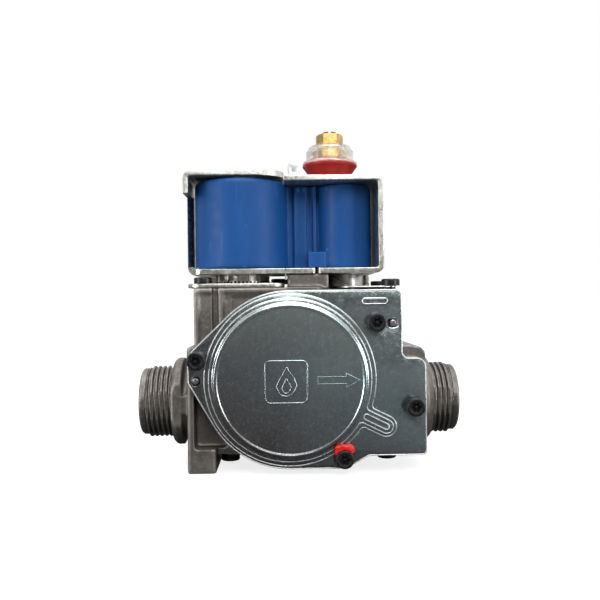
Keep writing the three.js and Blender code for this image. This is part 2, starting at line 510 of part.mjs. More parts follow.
// ---------------------------------------------------------------- bottom cover
const bottomHoles = (plate) =>
  BOTTOM_SCREWS.reduce((made, [x, y]) => made.subtract(rod(HOLE_R, -30, 0, 10, x, y)), plate);
const bottomShape = () => roundedRect(
  (BOTTOM_COVER.x0 + BOTTOM_COVER.x1) / 2, (BOTTOM_COVER.y0 + BOTTOM_COVER.y1) / 2,
  BOTTOM_COVER.x1 - BOTTOM_COVER.x0, BOTTOM_COVER.y1 - BOTTOM_COVER.y0, 4);
const bottomSheet = slabZ(bottomShape(), BOTTOM_FACE, BOTTOM_FACE + BOTTOM_COVER.sheet, 4);
piece("bottom_cover", bottomHoles(bottomSheet), STEEL);

// ---------------------------------------------------------------- regulator
const atReg = (points, segments) => turned(points, segments, REG.x, REG.y);
const regBase = REG.blockTop + GAP;
const regDisc = atReg([
  [2.2, regBase], [12.2, regBase], [15.8, regBase], [15.8, regBase + 0.8], [9.4, regBase + 0.8],
  [8.2, regBase + 1.8], [7, regBase + 0.8], [2.2, regBase + 0.8], [2.2, regBase]], 18);
const regHoles = (made) => REG_SCREWS.reduce((m, [x, y]) => m.subtract(rod(1.4, 10, 40, 8, x, y)), made);
piece("regulator_diaphragm", regHoles(regDisc), RUBBER);
const housing = atReg([[12, 22.9], [REG.r, 22.9], [REG.r, 26.6], [11.6, 26.6], [11.6, REG.housingTop],
  [3.6, REG.housingTop], [3.6, 29], [9, 29], [12, 25], [12, 22.9]], 20);
piece("regulator_housing", regHoles(housing), CASTING);
REG_SCREWS.forEach(([x, y], i) => {
  piece(`regulator_screw_${i + 1}`, screw(2.4, 1.8, 1.2, 9).translate([x, y, 26.65]), BLACK);
});
const regPoppet = atReg(
  [[0, 19.4], [4.6, 19.4], [4.6, 21.9], [2, 21.9], [2, 25], [1.4, 25], [1.4, 40], [0, 40]], 16);
piece("regulator_poppet", regPoppet, IRON);

// ---------------------------------------------------------------- modulator
function modulatorYoke() {
  const { halfWidth: w, halfDepth: d, yokeTop } = MOD;
  const base = REG.housingTop + GAP;
  const x = REG.x;
  const t = 1.8;
  const outline = [[x - w, base], [x + w, base], [x + w, yokeTop], [x - w, yokeTop]];
  const [l, r] = [x - w + t, x + w - t];
  const inside = [[l, base + t], [l, yokeTop - t], [r, yokeTop - t], [r, base + t]];
  const s = new THREE.Shape(outline.map((p) => new THREE.Vector2(...p)));
  s.holes.push(new THREE.Path(inside.map((p) => new THREE.Vector2(...p))));
  return slabY(s, REG.y - d, REG.y + d)
    .subtract(rod(3.7, 20, 40, 16, REG.x, REG.y))
    .subtract(rod(8.1, 80, 100, 24, REG.x, REG.y));
}
piece("modulator_yoke", modulatorYoke(), STEEL);
// Red bobbin: flanges around the winding space, and a neck with the round top that carries the cap.
const bobbin = atReg([[3.7, 33], [12.4, 33], [12.4, 35], [6.2, 35], [6.2, 83.5], [12.4, 83.5], [12.4, 85.8],
  [7.9, 85.8], [7.9, MOD.yokeTop + 1], [MOD.flangeR - 0.3, MOD.flangeBottom],
  [MOD.flangeR, MOD.flangeBottom + 0.4], [MOD.flangeR, MOD.flangeTop],
  [9.6, 96.9], [9.2, 97.3], [4.8, 97.3], [4.8, 60], [3.7, 60], [3.7, 33]], 20);
piece("modulator_bobbin", bobbin, RED);
piece("modulator_winding", tube(6.3, 11.6, 35.1, 83.4, 20, REG.x, REG.y), RUBBER);
piece("modulator_armature", rod(3.4, 40.1, 62, 16, REG.x, REG.y), IRON);
[-4.2, 2.6].forEach((dy, i) => {
  const stem = block(-2.9, 0.1, REG.y + dy - 0.4, REG.y + dy + 0.4, MOD.yokeTop - 4, MOD.yokeTop + 0.5);
  const tab = block(-2.9, 1.9, REG.y + dy - 0.4, REG.y + dy + 0.4, MOD.yokeTop + 0.5, 96.6).add(stem);
  const side = REG.x - MOD.halfWidth - GAP;
  const foot = block(-2.9, side, REG.y + dy - 2.4, REG.y + dy + 2.4, MOD.yokeTop - 4.8, MOD.yokeTop - 4);
  piece(`modulator_terminal_${i + 1}`, tab.add(foot), TIN);
});

// Pressure adjusters: spring cup, brass nut for the maximum and red screw for the minimum.
const cup = atReg([[0, 80], [4.5, 80], [4.5, 87.8], [3.4, 87.8], [3.4, 82], [0, 82]], 14);
piece("adjuster_spring_cup", cup, BRASS);
piece("regulator_spring", spring(3.4, 0.4, 62.3, 79.7, 6).translate([REG.x, REG.y, 0]), STEEL);
const nutHex = (af, z0, z1) => slabZ(hexShape(af), z0, z1).translate([REG.x, REG.y, 0]);
let nut = rod(4.5, 88, 101, 14, REG.x, REG.y)
  .add(nutHex(12.9, 98.6, 101.3))
  .add(rod(5.2, 101, 103.6, 14, REG.x, REG.y))
  .add(nutHex(10, 103, 108.2)
    .intersect(atReg([[0, 103], [5.8, 103], [5.8, 107.4], [5, 108.2], [0, 108.2]], 18)));
nut = nut.subtract(rod(3.5, 97, 112, 12, REG.x, REG.y)).subtract(rod(2.5, 86, 112, 12, REG.x, REG.y));
piece("max_adjuster_nut", nut, BRASS);
const redScrew = atReg(
  [[0, 90], [2.2, 90], [2.2, 97.2], [3.2, 97.2], [3.2, 108.9], [2.8, 109.3], [0, 109.3]], 12)
  .subtract(block(REG.x - 0.7, REG.x + 0.7, REG.y - 5, REG.y + 5, 107.2, 111));
piece("min_adjuster_screw", redScrew, RED);
const cap = atReg([[11.7, 95.35], [11.7, 96.1], [10.5, 97.2], [10.2, 98], [10.2, 101], [9.2, 101.7], [9, 102.7],
  [8.2, 103.2], [6.4, 103.4], [6.4, 102.9], [7.9, 102.6], [8.4, 102], [8.5, 101.2], [9.6, 100.6], [9.65, 97.05],
  [11.7, 95.35]], 22);
piece("adjuster_cap", cap, CLEAR);

// ---------------------------------------------------------------- pressure test points
TEST_POINTS.forEach(([x, y], i) => {
  const name = ["inlet", "outlet"][i];
  const nipple = turned([
    [2.2, 10.2], [3, 10.2], [3, 18.1], [5, 18.1], [5, 20.1], [4.5, 20.1], [4.4, 27.4], [4, 28.2],
    [2.2, 28.2], [2.2, 10.2]], 12, x, y);
  piece(name + "_test_nipple", nipple, TIN);
  const needle = turned([[0, 14], [2.05, 14], [2.05, 26.6], [0, 26.6]], 16, x, y)
    .subtract(block(x - 0.4, x + 0.4, y - 3, y + 3, 25.2, 28));
  piece(name + "_test_screw", needle, BLACK);
});

export default valve;
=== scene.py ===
# Looks of the gas control valve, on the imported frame. Geometry is in millimetres in the port frame: X along
# the ports, Y to the back, Z up, zero on the port axis. piece() moves each one to the row frame.
import math

import bmesh
import bpy
from mathutils import Matrix, Vector
from mathutils.geometry import tessellate_polygon


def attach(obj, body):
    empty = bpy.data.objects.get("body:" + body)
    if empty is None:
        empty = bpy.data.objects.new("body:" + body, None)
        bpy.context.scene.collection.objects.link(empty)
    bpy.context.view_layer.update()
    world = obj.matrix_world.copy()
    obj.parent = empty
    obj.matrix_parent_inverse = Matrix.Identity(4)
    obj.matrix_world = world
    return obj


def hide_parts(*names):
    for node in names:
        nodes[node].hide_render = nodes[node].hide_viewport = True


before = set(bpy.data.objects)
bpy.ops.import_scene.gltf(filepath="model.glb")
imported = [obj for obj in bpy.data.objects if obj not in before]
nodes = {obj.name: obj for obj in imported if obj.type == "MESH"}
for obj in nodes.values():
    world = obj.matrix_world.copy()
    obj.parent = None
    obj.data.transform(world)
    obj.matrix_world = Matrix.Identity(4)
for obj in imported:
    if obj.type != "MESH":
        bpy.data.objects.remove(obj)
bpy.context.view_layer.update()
scene = bpy.context.scene
scene.view_settings.view_transform = "Standard"

# The port frame's zero in the row frame; the casting's foot is at zero height there.
PORT_ZERO = Vector((0.0, -12.725, 23.4))
TO_ROW = Matrix.Scale(0.001, 4) @ Matrix.Translation(PORT_ZERO)


def row(x, y, z):
    return TO_ROW @ Vector((x, y, z))


# ---------- camera
CAM_DISTANCE, CAM_YAW, CAM_ROLL = 280.0, math.radians(-1.35), math.radians(0.7)
CAM_AIM = (0.8, 0, 37.4)
SENSOR, FOCAL_IN_FRAMES = 36, 737 / 600
back = Vector((math.sin(CAM_YAW), -math.cos(CAM_YAW), 0))
cam = bpy.data.objects.new("camera", bpy.data.cameras.new("camera"))
scene.collection.objects.link(cam)
cam.data.sensor_width = SENSOR
cam.data.lens = SENSOR * FOCAL_IN_FRAMES
cam.data.clip_start, cam.data.clip_end = 0.01, 20
cam.rotation_mode = "QUATERNION"
cam.location = row(*CAM_AIM) + back * (CAM_DISTANCE / 1000)
roll = Matrix.Rotation(-CAM_ROLL, 3, "Z").to_quaternion()
cam.rotation_quaternion = (-back).to_track_quat("-Z", "Y") @ roll
scene.camera = cam

# ---------- driving dimensions, as in the CAD
PORT_FACE, THREAD_R, THREAD_ROOT_R, THREAD_PITCH, BORE_R = 58.5, 13.22, 12.06, 1.814, 9.0
BODY_LEFT, BODY_RIGHT, BODY_FRONT, BODY_BACK, BODY_BOTTOM, BODY_TOP = -37.4, 35.3, -17.0, 20.0, -17.2, 41.2
STEP_LEFT, STEP_RIGHT, STEP_TOP, SEAT_Y = -39.5, 45.2, 21.0, -21.5
FOOT_LEFT, FOOT_RIGHT, FOOT_FRONT, FOOT_BACK, FOOT_BOTTOM = -39.9, -29.8, -20.5, 15.0, -23.4
DOME_X, DOME_Z, FLANGE_R, DOME_H = -3.5, 9.8, 31.1, 4.6
COVER_BACK, COVER_FRONT = -22.85, -24.45
EV1 = Vector((-20.9, 1.0))
EV2 = Vector((18.0, 1.0))
EV1_COIL_R, EV2_COIL_R, EV1_PLATE, EV2_PLATE = 17.6, 10.1, 43.7, 42.2
COIL_BOTTOM, COIL_LEFT_TOP, COIL_RIGHT_TOP = 49.1, 81.6, 80.1
YOKE_SEAM, YOKE_LEFT, YOKE_RIGHT, YOKE_FRONT, YOKE_BACK = -5.0, -41.2, 31.0, -15.8, 16.0
YOKE_BOTTOM, YOKE_TOP, YOKE_SHEET = 46.9, 84.4, 2.0
REG = Vector((15.2, 37.5))
REG_R, REG_TOP = 17.0, 22.0
MOD_TOP = 88.0
TEST_POINTS = {"inlet": (-24, 25.5), "outlet": (37.5, 25.5)}
COVER_SCREWS = {"left": (-35.7, 16.9), "top": (26.5, 29.4), "right": (39.6, 0.1), "bottom": (14.9, -17.5)}
COVER_PINS = {"left": (-36.2, 9.7, 3.0), "right": (32.5, 29.1, 4.0)}  # x, z, width of the hole
EV1_SCREWS, EV2_SCREWS = [(-34.4, -13), (-7, 15)], [(33.2, -14.7), (33.2, 17.5)]
BOTTOM_SCREWS = [(-25.6, -7.8), (32, -7.8), (-2, 15.2)]
COIL_SCREW = (2.0, 5.5)
REG_SCREWS = [(REG.x + side * 14.2, REG.y) for side in (1, -1)]
SHANK_R, HOLE_R, COIL_HOLE_R, EV1_TUBE_HOLE = 1.75, 1.9, 1.95, 9.0
ON_EV1, ON_EV2, ON_REG = (EV1.x, EV1.y, 0), (EV2.x, EV2.y, 0), (REG.x, REG.y, 0)
ON_COIL_SCREW, ON_COVER = (*COIL_SCREW, 0), (0, COVER_FRONT, 0)
TINY = 1e-6

AXES = {
    "Z": lambda u, v, h: (u, v, h), "-Z": lambda u, v, h: (u, v, -h),
    "Y": lambda u, v, h: (u, h, v), "-Y": lambda u, v, h: (u, -h, v),
    "X": lambda u, v, h: (h, u, v), "-X": lambda u, v, h: (-h, u, v),
}


# ---------- outlines
def arc(cx, cy, r, start, end, step=6):
    """Points of an arc; angles in degrees, counterclockwise when end is larger."""
    n = max(2, math.ceil(abs(end - start) / step))
    angles = [math.radians(start + (end - start) * i / n) for i in range(n + 1)]
    return [(cx + r * math.cos(a), cy + r * math.sin(a)) for a in angles]


def full_turn(n):
    return [2 * math.pi * i / n for i in range(n)]


def circle(cx, cy, r, n):
    return [(cx + r * math.cos(a), cy + r * math.sin(a)) for a in full_turn(n)]


def rounded(points, closed=True, step=15):
    """An outline of (u, v) or (u, v, radius) corners; a corner that has a radius becomes an arc."""
    out = []
    n = len(points)
    for i, p in enumerate(points):
        if len(p) == 2 or p[2] <= 0 or (not closed and i in (0, n - 1)):
            out.append((p[0], p[1]))
            continue
        here, before, after = Vector(p[:2]), Vector(points[i - 1][:2]), Vector(points[(i + 1) % n][:2])
        to_before, to_after = (before - here), (after - here)
        room = 0.49 * min(to_before.length, to_after.length)
        to_before.normalize()
        to_after.normalize()
        half = to_before.angle(to_after) / 2
        if half > math.radians(89):
            out.append((p[0], p[1]))
            continue
        reach = min(p[2] / math.tan(half), room)
        r = reach * math.tan(half)
        centre = here + (to_before + to_after).normalized() * (r / math.sin(half))
        start, end = here + to_before * reach - centre, here + to_after * reach - centre
        turn = start.angle_signed(end)
        k = max(2, math.ceil(math.degrees(abs(turn)) / step))
        for j in range(k + 1):
            a = math.atan2(start.y, start.x) - turn * j / k
            out.append((centre.x + r * math.cos(a), centre.y + r * math.sin(a)))
    return out


def rect(x0, x1, y0, y1, r=0.0):
    return rounded([(x0, y0, r), (x1, y0, r), (x1, y1, r), (x0, y1, r)])


def inset_loop(loop, d):
    """Each point moved to the left of the direction of travel by d."""
    out = []
    for i, p in enumerate(loop):
        here, before, after = Vector(p), Vector(loop[i - 1]), Vector(loop[(i + 1) % len(loop)])
        a, b = (here - before).normalized(), (after - here).normalized()
        na, nb = Vector((-a.y, a.x)), Vector((-b.y, b.x))
        m = (na + nb)
        m = m.normalized() if m.length > TINY else na
        out.append(tuple(here + m * (d / max(0.35, m.dot(na)))))
    return out


def area_of(loop):
    return sum(a[0] * b[1] - b[0] * a[1] for a, b in zip(loop, loop[1:] + loop[:1])) / 2


# ---------- solids, in port-frame millimetres
def to_object(bm, name="solid"):
    bmesh.ops.recalc_face_normals(bm, faces=bm.faces)
    mesh = bpy.data.meshes.new(name)
    bm.to_mesh(mesh)
    bm.free()
    ob = bpy.data.objects.new(name, mesh)
    scene.collection.objects.link(ob)
    return ob


def lathe(profile, axis="Z", at=(0, 0, 0), segments=96):
    """A turned solid from (radius, height) points that start and end on the axis, or close on themselves."""
    bm = bmesh.new()
    place = AXES[axis]
    turns = full_turn(segments)
    rings = []
    for r, h in profile:
        around = turns if r > TINY else turns[:1]
        spots = [Vector(place(r * math.cos(a), r * math.sin(a), h)) + Vector(at) for a in around]
        rings.append([bm.verts.new(spot) for spot in spots])
    pairs = list(zip(rings, rings[1:])) + ([(rings[-1], rings[0])] if profile[0][0] > TINY else [])
    for low, high in pairs:
        for i in range(segments):
            j = (i + 1) % segments
            quad = [low[i % len(low)], low[j % len(low)], high[j % len(high)], high[i % len(high)]]
            corners = list(dict.fromkeys(quad))
            if len(corners) > 2:
                bm.faces.new(corners)
    return to_object(bm)


def rod(r, h0, h1, axis="Z", at=(0, 0, 0), segments=48):
    return lathe([(0, h0), (r, h0), (r, h1), (0, h1)], axis, at, segments)


def turned(profile, axis="Z", at=(0, 0, 0), segments=96):
    """As lathe, from (radius, height) or (radius, height, corner radius) points."""
    return lathe(rounded(profile, profile[0][0] > TINY), axis, at, segments)


def drills(points, z0, z1, r=HOLE_R, segments=24):
    """Upright holes at (x, y) points."""
    return [rod(r, z0, z1, at=(x, y, 0), segments=segments) for x, y in points]


def plate(outer, h0, h1, axis="Z", edge=(0.0, 0.0), holes=(), at=(0, 0, 0)):
    """A flat outline with holes and depth, its rims rounded by edge = (radius at h0, radius at h1)."""
    loops = [outer if area_of(outer) > 0 else outer[::-1]]
    loops += [h if area_of(h) < 0 else h[::-1] for h in holes]
    steps = 3
    levels = []
    for base, direction, r in ((h0, 1, edge[0]), (h1, -1, edge[1])):
        side = [(0.0, base)]
        if r > 0:
            turns = [math.pi / 2 * k / steps for k in range(steps + 1)]
            side = [(r * (1 - math.sin(t)), base + direction * r * (1 - math.cos(t))) for t in turns]
        levels += side if direction > 0 else side[::-1]
    bm = bmesh.new()
    place, at = AXES[axis], Vector(at)
    caps = ([], [])
    for loop in loops:
        rings = []
        for inset, h in levels:
            rings.append([bm.verts.new(Vector(place(u, v, h)) + at) for u, v in inset_loop(loop, inset)])
        for low, high in zip(rings, rings[1:]):
            for i in range(len(loop)):
                j = (i + 1) % len(loop)
                bm.faces.new((low[i], low[j], high[j], high[i]))
        caps[0].append((rings[0], inset_loop(loop, levels[0][0])))
        caps[1].append((rings[-1], inset_loop(loop, levels[-1][0])))
    for cap in caps:
        verts = [v for ring, _ in cap for v in ring]
        flat = [[Vector((u, v, 0)) for u, v in points] for _, points in cap]
        for triangle in tessellate_polygon(flat):
            bm.faces.new([verts[k] for k in triangle])
    return to_object(bm)


def block(x0, x1, y0, y1, z0, z1, r=0.0):
    """A block; r rounds its upright corners."""
    return plate(rect(x0, x1, y0, y1, r), z0, z1)


def bead(points, radius):
    """A closed round bead along (x, y, z) points."""
    curve = bpy.data.curves.new("bead", "CURVE")
    curve.dimensions = "3D"
    curve.bevel_depth = radius
    curve.bevel_resolution = 4
    curve.use_fill_caps = True
    s = curve.splines.new("POLY")
    s.points.add(len(points) - 1)
    for p, q in zip(s.points, points):
        p.co = (*q, 1)
    s.use_cyclic_u = True
    ob = bpy.data.objects.new("bead", curve)
    scene.collection.objects.link(ob)
    return applied(ob)


def applied(ob):
    """The object's evaluated mesh as a plain mesh object in its place."""
    bpy.context.view_layer.update()
    mesh = bpy.data.meshes.new_from_object(ob.evaluated_get(bpy.context.evaluated_depsgraph_get()))
    new = bpy.data.objects.new(ob.name, mesh)
    scene.collection.objects.link(new)
    bpy.data.objects.remove(ob)
    return new


def combine(base, add=(), cut=(), cut_first=False):
    """Joins the add solids to base and takes the cut solids away."""
    jobs = [("DIFFERENCE", list(cut)), ("UNION", list(add))]
    for operation, tools in jobs if cut_first else jobs[::-1]:
        for tool in tools:
            mod = base.modifiers.new("cut", "BOOLEAN")
            mod.operation, mod.object, mod.solver = operation, tool, "MANIFOLD"
    made = applied(base)
    for tool in [*add, *cut]:
        bpy.data.objects.remove(tool)
    return made


def moulded(ob, voxel, smoothing=3):
    """Softens every edge as a casting or moulding has it."""
    mod = ob.modifiers.new("remesh", "REMESH")
    mod.mode, mod.voxel_size = "VOXEL", voxel
    mod = ob.modifiers.new("smooth", "SMOOTH")
    mod.factor, mod.iterations = 0.5, smoothing
    return applied(ob)


def together(*obs):
    """Several solids as one mesh object."""
    bm = bmesh.new()
    for ob in obs:
        bm.from_mesh(ob.data)
        bpy.data.objects.remove(ob)
    mesh = bpy.data.meshes.new("solid")
    bm.to_mesh(mesh)
    bm.free()
    new = bpy.data.objects.new("solid", mesh)
    scene.collection.objects.link(new)
    return new


def piece(name, ob, look, stands_for, body="valve", sharp=32):
    """Names the solid, moves it to the row frame and lets it ride with its body."""
    ob.name = ob.data.name = name
    ob.data.transform(TO_ROW)
    ob.data.polygons.foreach_set("use_smooth", [True] * len(ob.data.polygons))
    ob.data.set_sharp_from_angle(angle=math.radians(sharp))
    ob.data.materials.clear()
    ob.data.materials.append(M[look])
    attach(ob, body)
    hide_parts(stands_for)
    return ob


# ---------- materials
class Nodes:
    """A small helper round one material's node tree."""

    def __init__(self, name, base, rough, metal=0.0, **fixed):
        self.mat = bpy.data.materials.new(name)
        self.mat.use_nodes = True
        self.mat.diffuse_color = (*base, 1)
        self.tree = self.mat.node_tree
        self.bsdf = self.tree.nodes["Principled BSDF"]
        self.bsdf.inputs["Base Color"].default_value = (*base, 1)
        self.bsdf.inputs["Roughness"].default_value = rough
        self.bsdf.inputs["Metallic"].default_value = metal
        for key, value in fixed.items():
            self.bsdf.inputs[key.replace("_", " ")].default_value = value
        self.coord = self.add("ShaderNodeTexCoord").outputs["Object"]

    def add(self, kind, **props):
        n = self.tree.nodes.new(kind)
        for key, value in props.items():
            setattr(n, key, value)
        return n

    def link(self, a, b):
        self.tree.links.new(a, b)

    def noise(self, scale, detail=4.0, rough=0.6, stretch=(1, 1, 1), distortion=0.0):
        m = self.add("ShaderNodeMapping")
        m.inputs["Scale"].default_value = stretch
        self.link(self.coord, m.inputs["Vector"])
        n = self.add("ShaderNodeTexNoise")
        n.inputs["Scale"].default_value = scale
        n.inputs["Detail"].default_value = detail
        n.inputs["Roughness"].default_value = rough
        n.inputs["Distortion"].default_value = distortion
        self.link(m.outputs["Vector"], n.inputs["Vector"])
        return n.outputs["Fac"]

    def crystals(self, scale):
        n = self.add("ShaderNodeTexVoronoi", feature="F1")
        n.inputs["Scale"].default_value = scale
        self.link(self.coord, n.inputs["Vector"])
        return n.outputs["Color"]

    def ramp(self, fac, stops):
        r = self.add("ShaderNodeValToRGB")
        el = r.color_ramp.elements
        while len(el) < len(stops):
            el.new(0.5)
        for e, (pos, col) in zip(el, stops):
            e.position = pos
            e.color = (*col, 1)
        self.link(fac, r.inputs["Fac"])
        return r.outputs["Color"]

    def span(self, fac, lo, hi, start=0.3, end=0.7):
        m = self.add("ShaderNodeMapRange")
        m.inputs["From Min"].default_value = start
        m.inputs["From Max"].default_value = end
        m.inputs["To Min"].default_value = lo
        m.inputs["To Max"].default_value = hi
        self.link(fac, m.inputs["Value"])
        return m.outputs["Result"]

    def mix(self, fac, a, b, mode="MIX"):
        m = self.add("ShaderNodeMix", data_type="RGBA", blend_type=mode)
        for value, key in ((fac, 0), (a, 6), (b, 7)):
            if isinstance(value, (int, float)):
                m.inputs[key].default_value = value
            elif isinstance(value, tuple):
                m.inputs[key].default_value = (*value, 1)
            else:
                self.link(value, m.inputs[key])
        return m.outputs[2]

    def along(self, direction, start, end):
        """0 to 1 as a point in metres goes from start to end along a direction."""
        d = self.add("ShaderNodeVectorMath", operation="DOT_PRODUCT")
        self.link(self.coord, d.inputs[0])
        d.inputs[1].default_value = direction
        return self.span(d.outputs["Value"], 0.0, 1.0, start, end)

    def color(self, out):
        self.link(out, self.bsdf.inputs["Base Color"])

    def rough(self, out):
        self.link(out, self.bsdf.inputs["Roughness"])

    def bump(self, height, strength, distance):
        b = self.add("ShaderNodeBump")
        b.inputs["Strength"].default_value = strength
        b.inputs["Distance"].default_value = distance
        self.link(height, b.inputs["Height"])
        last = self.bsdf.inputs["Normal"].links
        if last:
            self.link(last[0].from_socket, b.inputs["Normal"])
        self.link(b.outputs["Normal"], self.bsdf.inputs["Normal"])

    def worn(self, color, edge_color, strength=0.8):
        """The colour with a lighter wear along convex edges."""
        g = self.add("ShaderNodeNewGeometry")
        return self.mix(self.span(g.outputs["Pointiness"], 0.0, strength, 0.51, 0.6), color, edge_color)


def grey(v, warm=0.0):
    return (v * (1 + warm), v, v * (1 - warm))


def cast_look(name, dark, mid, light, rough):
    c = Nodes(name, grey(mid, 0.08), 0.5, 0.8)
    stops = [(0.3, grey(dark, 0.1)), (0.55, grey(mid, 0.09)), (0.8, grey(light, 0.07))]
    tone = c.ramp(c.noise(80, 6, 0.65), stops)
    speck = c.span(c.noise(900, 3, 0.7), 0.0, 0.35, 0.52, 0.75)
    c.color(c.worn(c.mix(speck, tone, grey(light * 1.7, 0.06)), grey(light * 2.2, 0.05)))
    c.rough(c.span(c.noise(350, 4), *rough))
    c.bump(c.noise(1500, 5, 0.7), 0.45, 0.00025)
    c.bump(c.noise(160, 4, 0.6), 0.25, 0.0006)
    return c.mat


def cover_look():
    c = Nodes("zinc_cover", (0.3, 0.34, 0.33), 0.3, 1.0)
    grain = c.noise(1300, 6, 0.8)
    cloud = c.noise(30, 5, 0.65, distortion=0.8)
    tone = c.ramp(cloud, [(0.25, (0.48, 0.56, 0.58)), (0.5, (0.56, 0.66, 0.66)), (0.75, (0.66, 0.75, 0.72))])
    # Warmer and darker towards the lower left: the warm hue is a passivation tint of the plating, and the
    # darkening is painted shade.
    warm = c.ramp(cloud, [(0.25, (0.3, 0.24, 0.24)), (0.5, (0.4, 0.34, 0.32)), (0.75, (0.52, 0.47, 0.44))])
    across = c.mix(0.25, c.along((0.75, 0, 0.66), -0.012, 0.045), c.noise(45, 4, 0.6))
    tone = c.mix(c.span(across, 1.0, 0.0, 0.1, 0.75), tone, warm)
    # Darker towards the bottom of the cover: painted shade.
    height = c.mix(0.15, c.along((0.2, 0, 0.98), 0.006, 0.054), c.noise(60, 5, 0.7))
    painted_shade = c.ramp(height, [(0.05, (0.36, 0.37, 0.4)), (0.5, (0.62, 0.67, 0.72)), (0.95, (1, 1, 1))])
    tone = c.mix(1.0, tone, painted_shade, "MULTIPLY")
    c.color(c.mix(c.span(grain, 0.0, 0.5, 0.5, 0.75), tone, (0.8, 0.84, 0.82)))
    c.rough(c.span(c.noise(600, 5, 0.7), 0.17, 0.3))
    c.bump(grain, 0.22, 0.00006)
    c.bump(c.noise(50, 2), 0.08, 0.0003)
    return c.mat


def sheet_look():
    c = Nodes("zinc_sheet", (0.5, 0.5, 0.47), 0.34, 1.0)
    spangle = c.mix(0.5, c.crystals(900), c.noise(1000, 4, 0.8))
    stops = [(0.3, (0.34, 0.34, 0.31)), (0.55, (0.52, 0.52, 0.48)), (0.8, (0.66, 0.65, 0.58))]
    tone = c.ramp(c.noise(110, 6, 0.65), stops)
    c.color(c.mix(c.span(spangle, 0.0, 0.55, 0.42, 0.62), tone, (0.84, 0.83, 0.76)))
    c.rough(c.span(c.noise(450, 5, 0.7), 0.25, 0.45))
    c.bump(c.noise(900, 5, 0.75), 0.4, 0.00015)
    return c.mat


def blue_look():
    c = Nodes("blue_moulding", (0.012, 0.07, 0.27), 0.5, 0.0, Specular_IOR_Level=0.25)
    stops = [(0.3, (0.003, 0.05, 0.19)), (0.55, (0.004, 0.062, 0.235)), (0.8, (0.008, 0.08, 0.285))]
    tone = c.ramp(c.noise(50, 5, 0.65, (1, 1, 0.25)), stops)
    scuff = c.span(c.noise(220, 3, 0.5, (1, 1, 0.12), 1.5), 0.0, 0.22, 0.62, 0.72)
    c.color(c.worn(c.mix(scuff, tone, (0.09, 0.22, 0.5)), (0.06, 0.17, 0.42), strength=0.6))
    c.rough(c.span(c.noise(260, 5, 0.7), 0.4, 0.6))
    c.bump(c.noise(800, 4, 0.6), 0.15, 0.0001)
    c.bump(c.noise(70, 3, 0.5), 0.25, 0.0005)
    return c.mat


def simple_look(name, dark, light, rough, metal, scale, bump, stretch=(1, 1, 1), **fixed):
    """Two tones of one colour, uneven gloss and a fine grain."""
    mid = tuple((a + b) / 2 for a, b in zip(dark, light))
    c = Nodes(name, mid, sum(rough) / 2, metal, **fixed)
    c.color(c.ramp(c.noise(scale, 4), [(0.3, dark), (0.7, light)]))
    c.rough(c.span(c.noise(scale * 2, 4, stretch=stretch), *rough))
    c.bump(c.noise(scale * 3, 4, stretch=stretch), *bump)
    return c.mat


LOOKS = {
    # look: (slot of the record, material)
    "cast": ("casting", cast_look("cast_zinc", 0.09, 0.155, 0.23, (0.36, 0.56))),
    "thread": ("casting", cast_look("cast_thread", 0.075, 0.125, 0.2, (0.28, 0.46))),
    "cover": ("zinc_steel", cover_look()),
    "sheet": ("zinc_steel", sheet_look()),
    "blue": ("blue_moulding", blue_look()),
    "black": ("black_screw", simple_look(
        "black_oxide", (0.006, 0.006, 0.007), (0.022, 0.022, 0.024), (0.26, 0.45), 0.4, 600, (0.25, 0.0001))),
    "red": ("red_plastic", simple_look(
        "red_plastic", (0.25, 0.006, 0.006), (0.34, 0.01, 0.008), (0.3, 0.48), 0.0, 300, (0.15, 0.00008),
        Specular_IOR_Level=0.3)),
    "seal": ("red_lacquer", simple_look(
        "seal_lacquer", (0.5, 0.008, 0.005), (0.72, 0.03, 0.015), (0.15, 0.4), 0.0, 400, (0.6, 0.00025))),
    "brass": ("brass", simple_look(
        "brass", (0.42, 0.27, 0.08), (0.66, 0.48, 0.19), (0.15, 0.34), 1.0, 300, (0.2, 0.00008), (1, 1, 6))),
    "rubber": ("rubber", simple_look(
        "rubber", (0.012, 0.012, 0.012), (0.03, 0.03, 0.03), (0.6, 0.8), 0.0, 500, (0.3, 0.00008))),
    "winding": ("winding", simple_look(
        "winding_tape", (0.016, 0.012, 0.01), (0.06, 0.04, 0.026), (0.4, 0.6), 0.0, 200, (0.5, 0.0002),
        (1, 1, 12))),
    "clear": ("clear_cap", simple_look(
        "clear_plastic", (0.86, 0.84, 0.82), (0.93, 0.92, 0.9), (0.05, 0.12), 0.0, 250, (0.05, 0.00005),
        Transmission_Weight=0.9, IOR=1.3, Alpha=0.55)),
    "tin": ("tinned", simple_look(
        "tinned", (0.62, 0.63, 0.64), (0.8, 0.81, 0.81), (0.22, 0.42), 0.75, 400, (0.2, 0.00006))),
    "iron": ("iron", simple_look(
        "turned_steel", (0.28, 0.28, 0.28), (0.5, 0.5, 0.49), (0.22, 0.42), 1.0, 300, (0.2, 0.00006),
        (1, 1, 6))),
    "wire": ("spring_steel", simple_look(
        "spring_wire", (0.3, 0.3, 0.3), (0.5, 0.5, 0.49), (0.2, 0.36), 1.0, 300, (0.15, 0.00006))),
}
M = {look: made[1] for look, made in LOOKS.items()}

# Inner parts keep their CAD mesh.
INNER = {
    "rubber": ["main_diaphragm", "ev1_valve_disc", "ev2_valve_pad", "regulator_diaphragm"],
    "winding": ["modulator_winding"],
    "tin": ["diaphragm_plate"],
    "brass": ["adjuster_spring_cup"],
    "iron": ["inlet_strainer", "main_poppet", "ev1_tube", "ev2_tube", "ev1_armature", "ev2_armature",
             "regulator_poppet", "modulator_armature"],
    "wire": ["main_spring", "ev1_spring", "ev2_spring", "regulator_spring"],
}
for look, names in INNER.items():
    for n in names:
        nodes[n].data.materials.clear()
        nodes[n].data.materials.append(M[look])


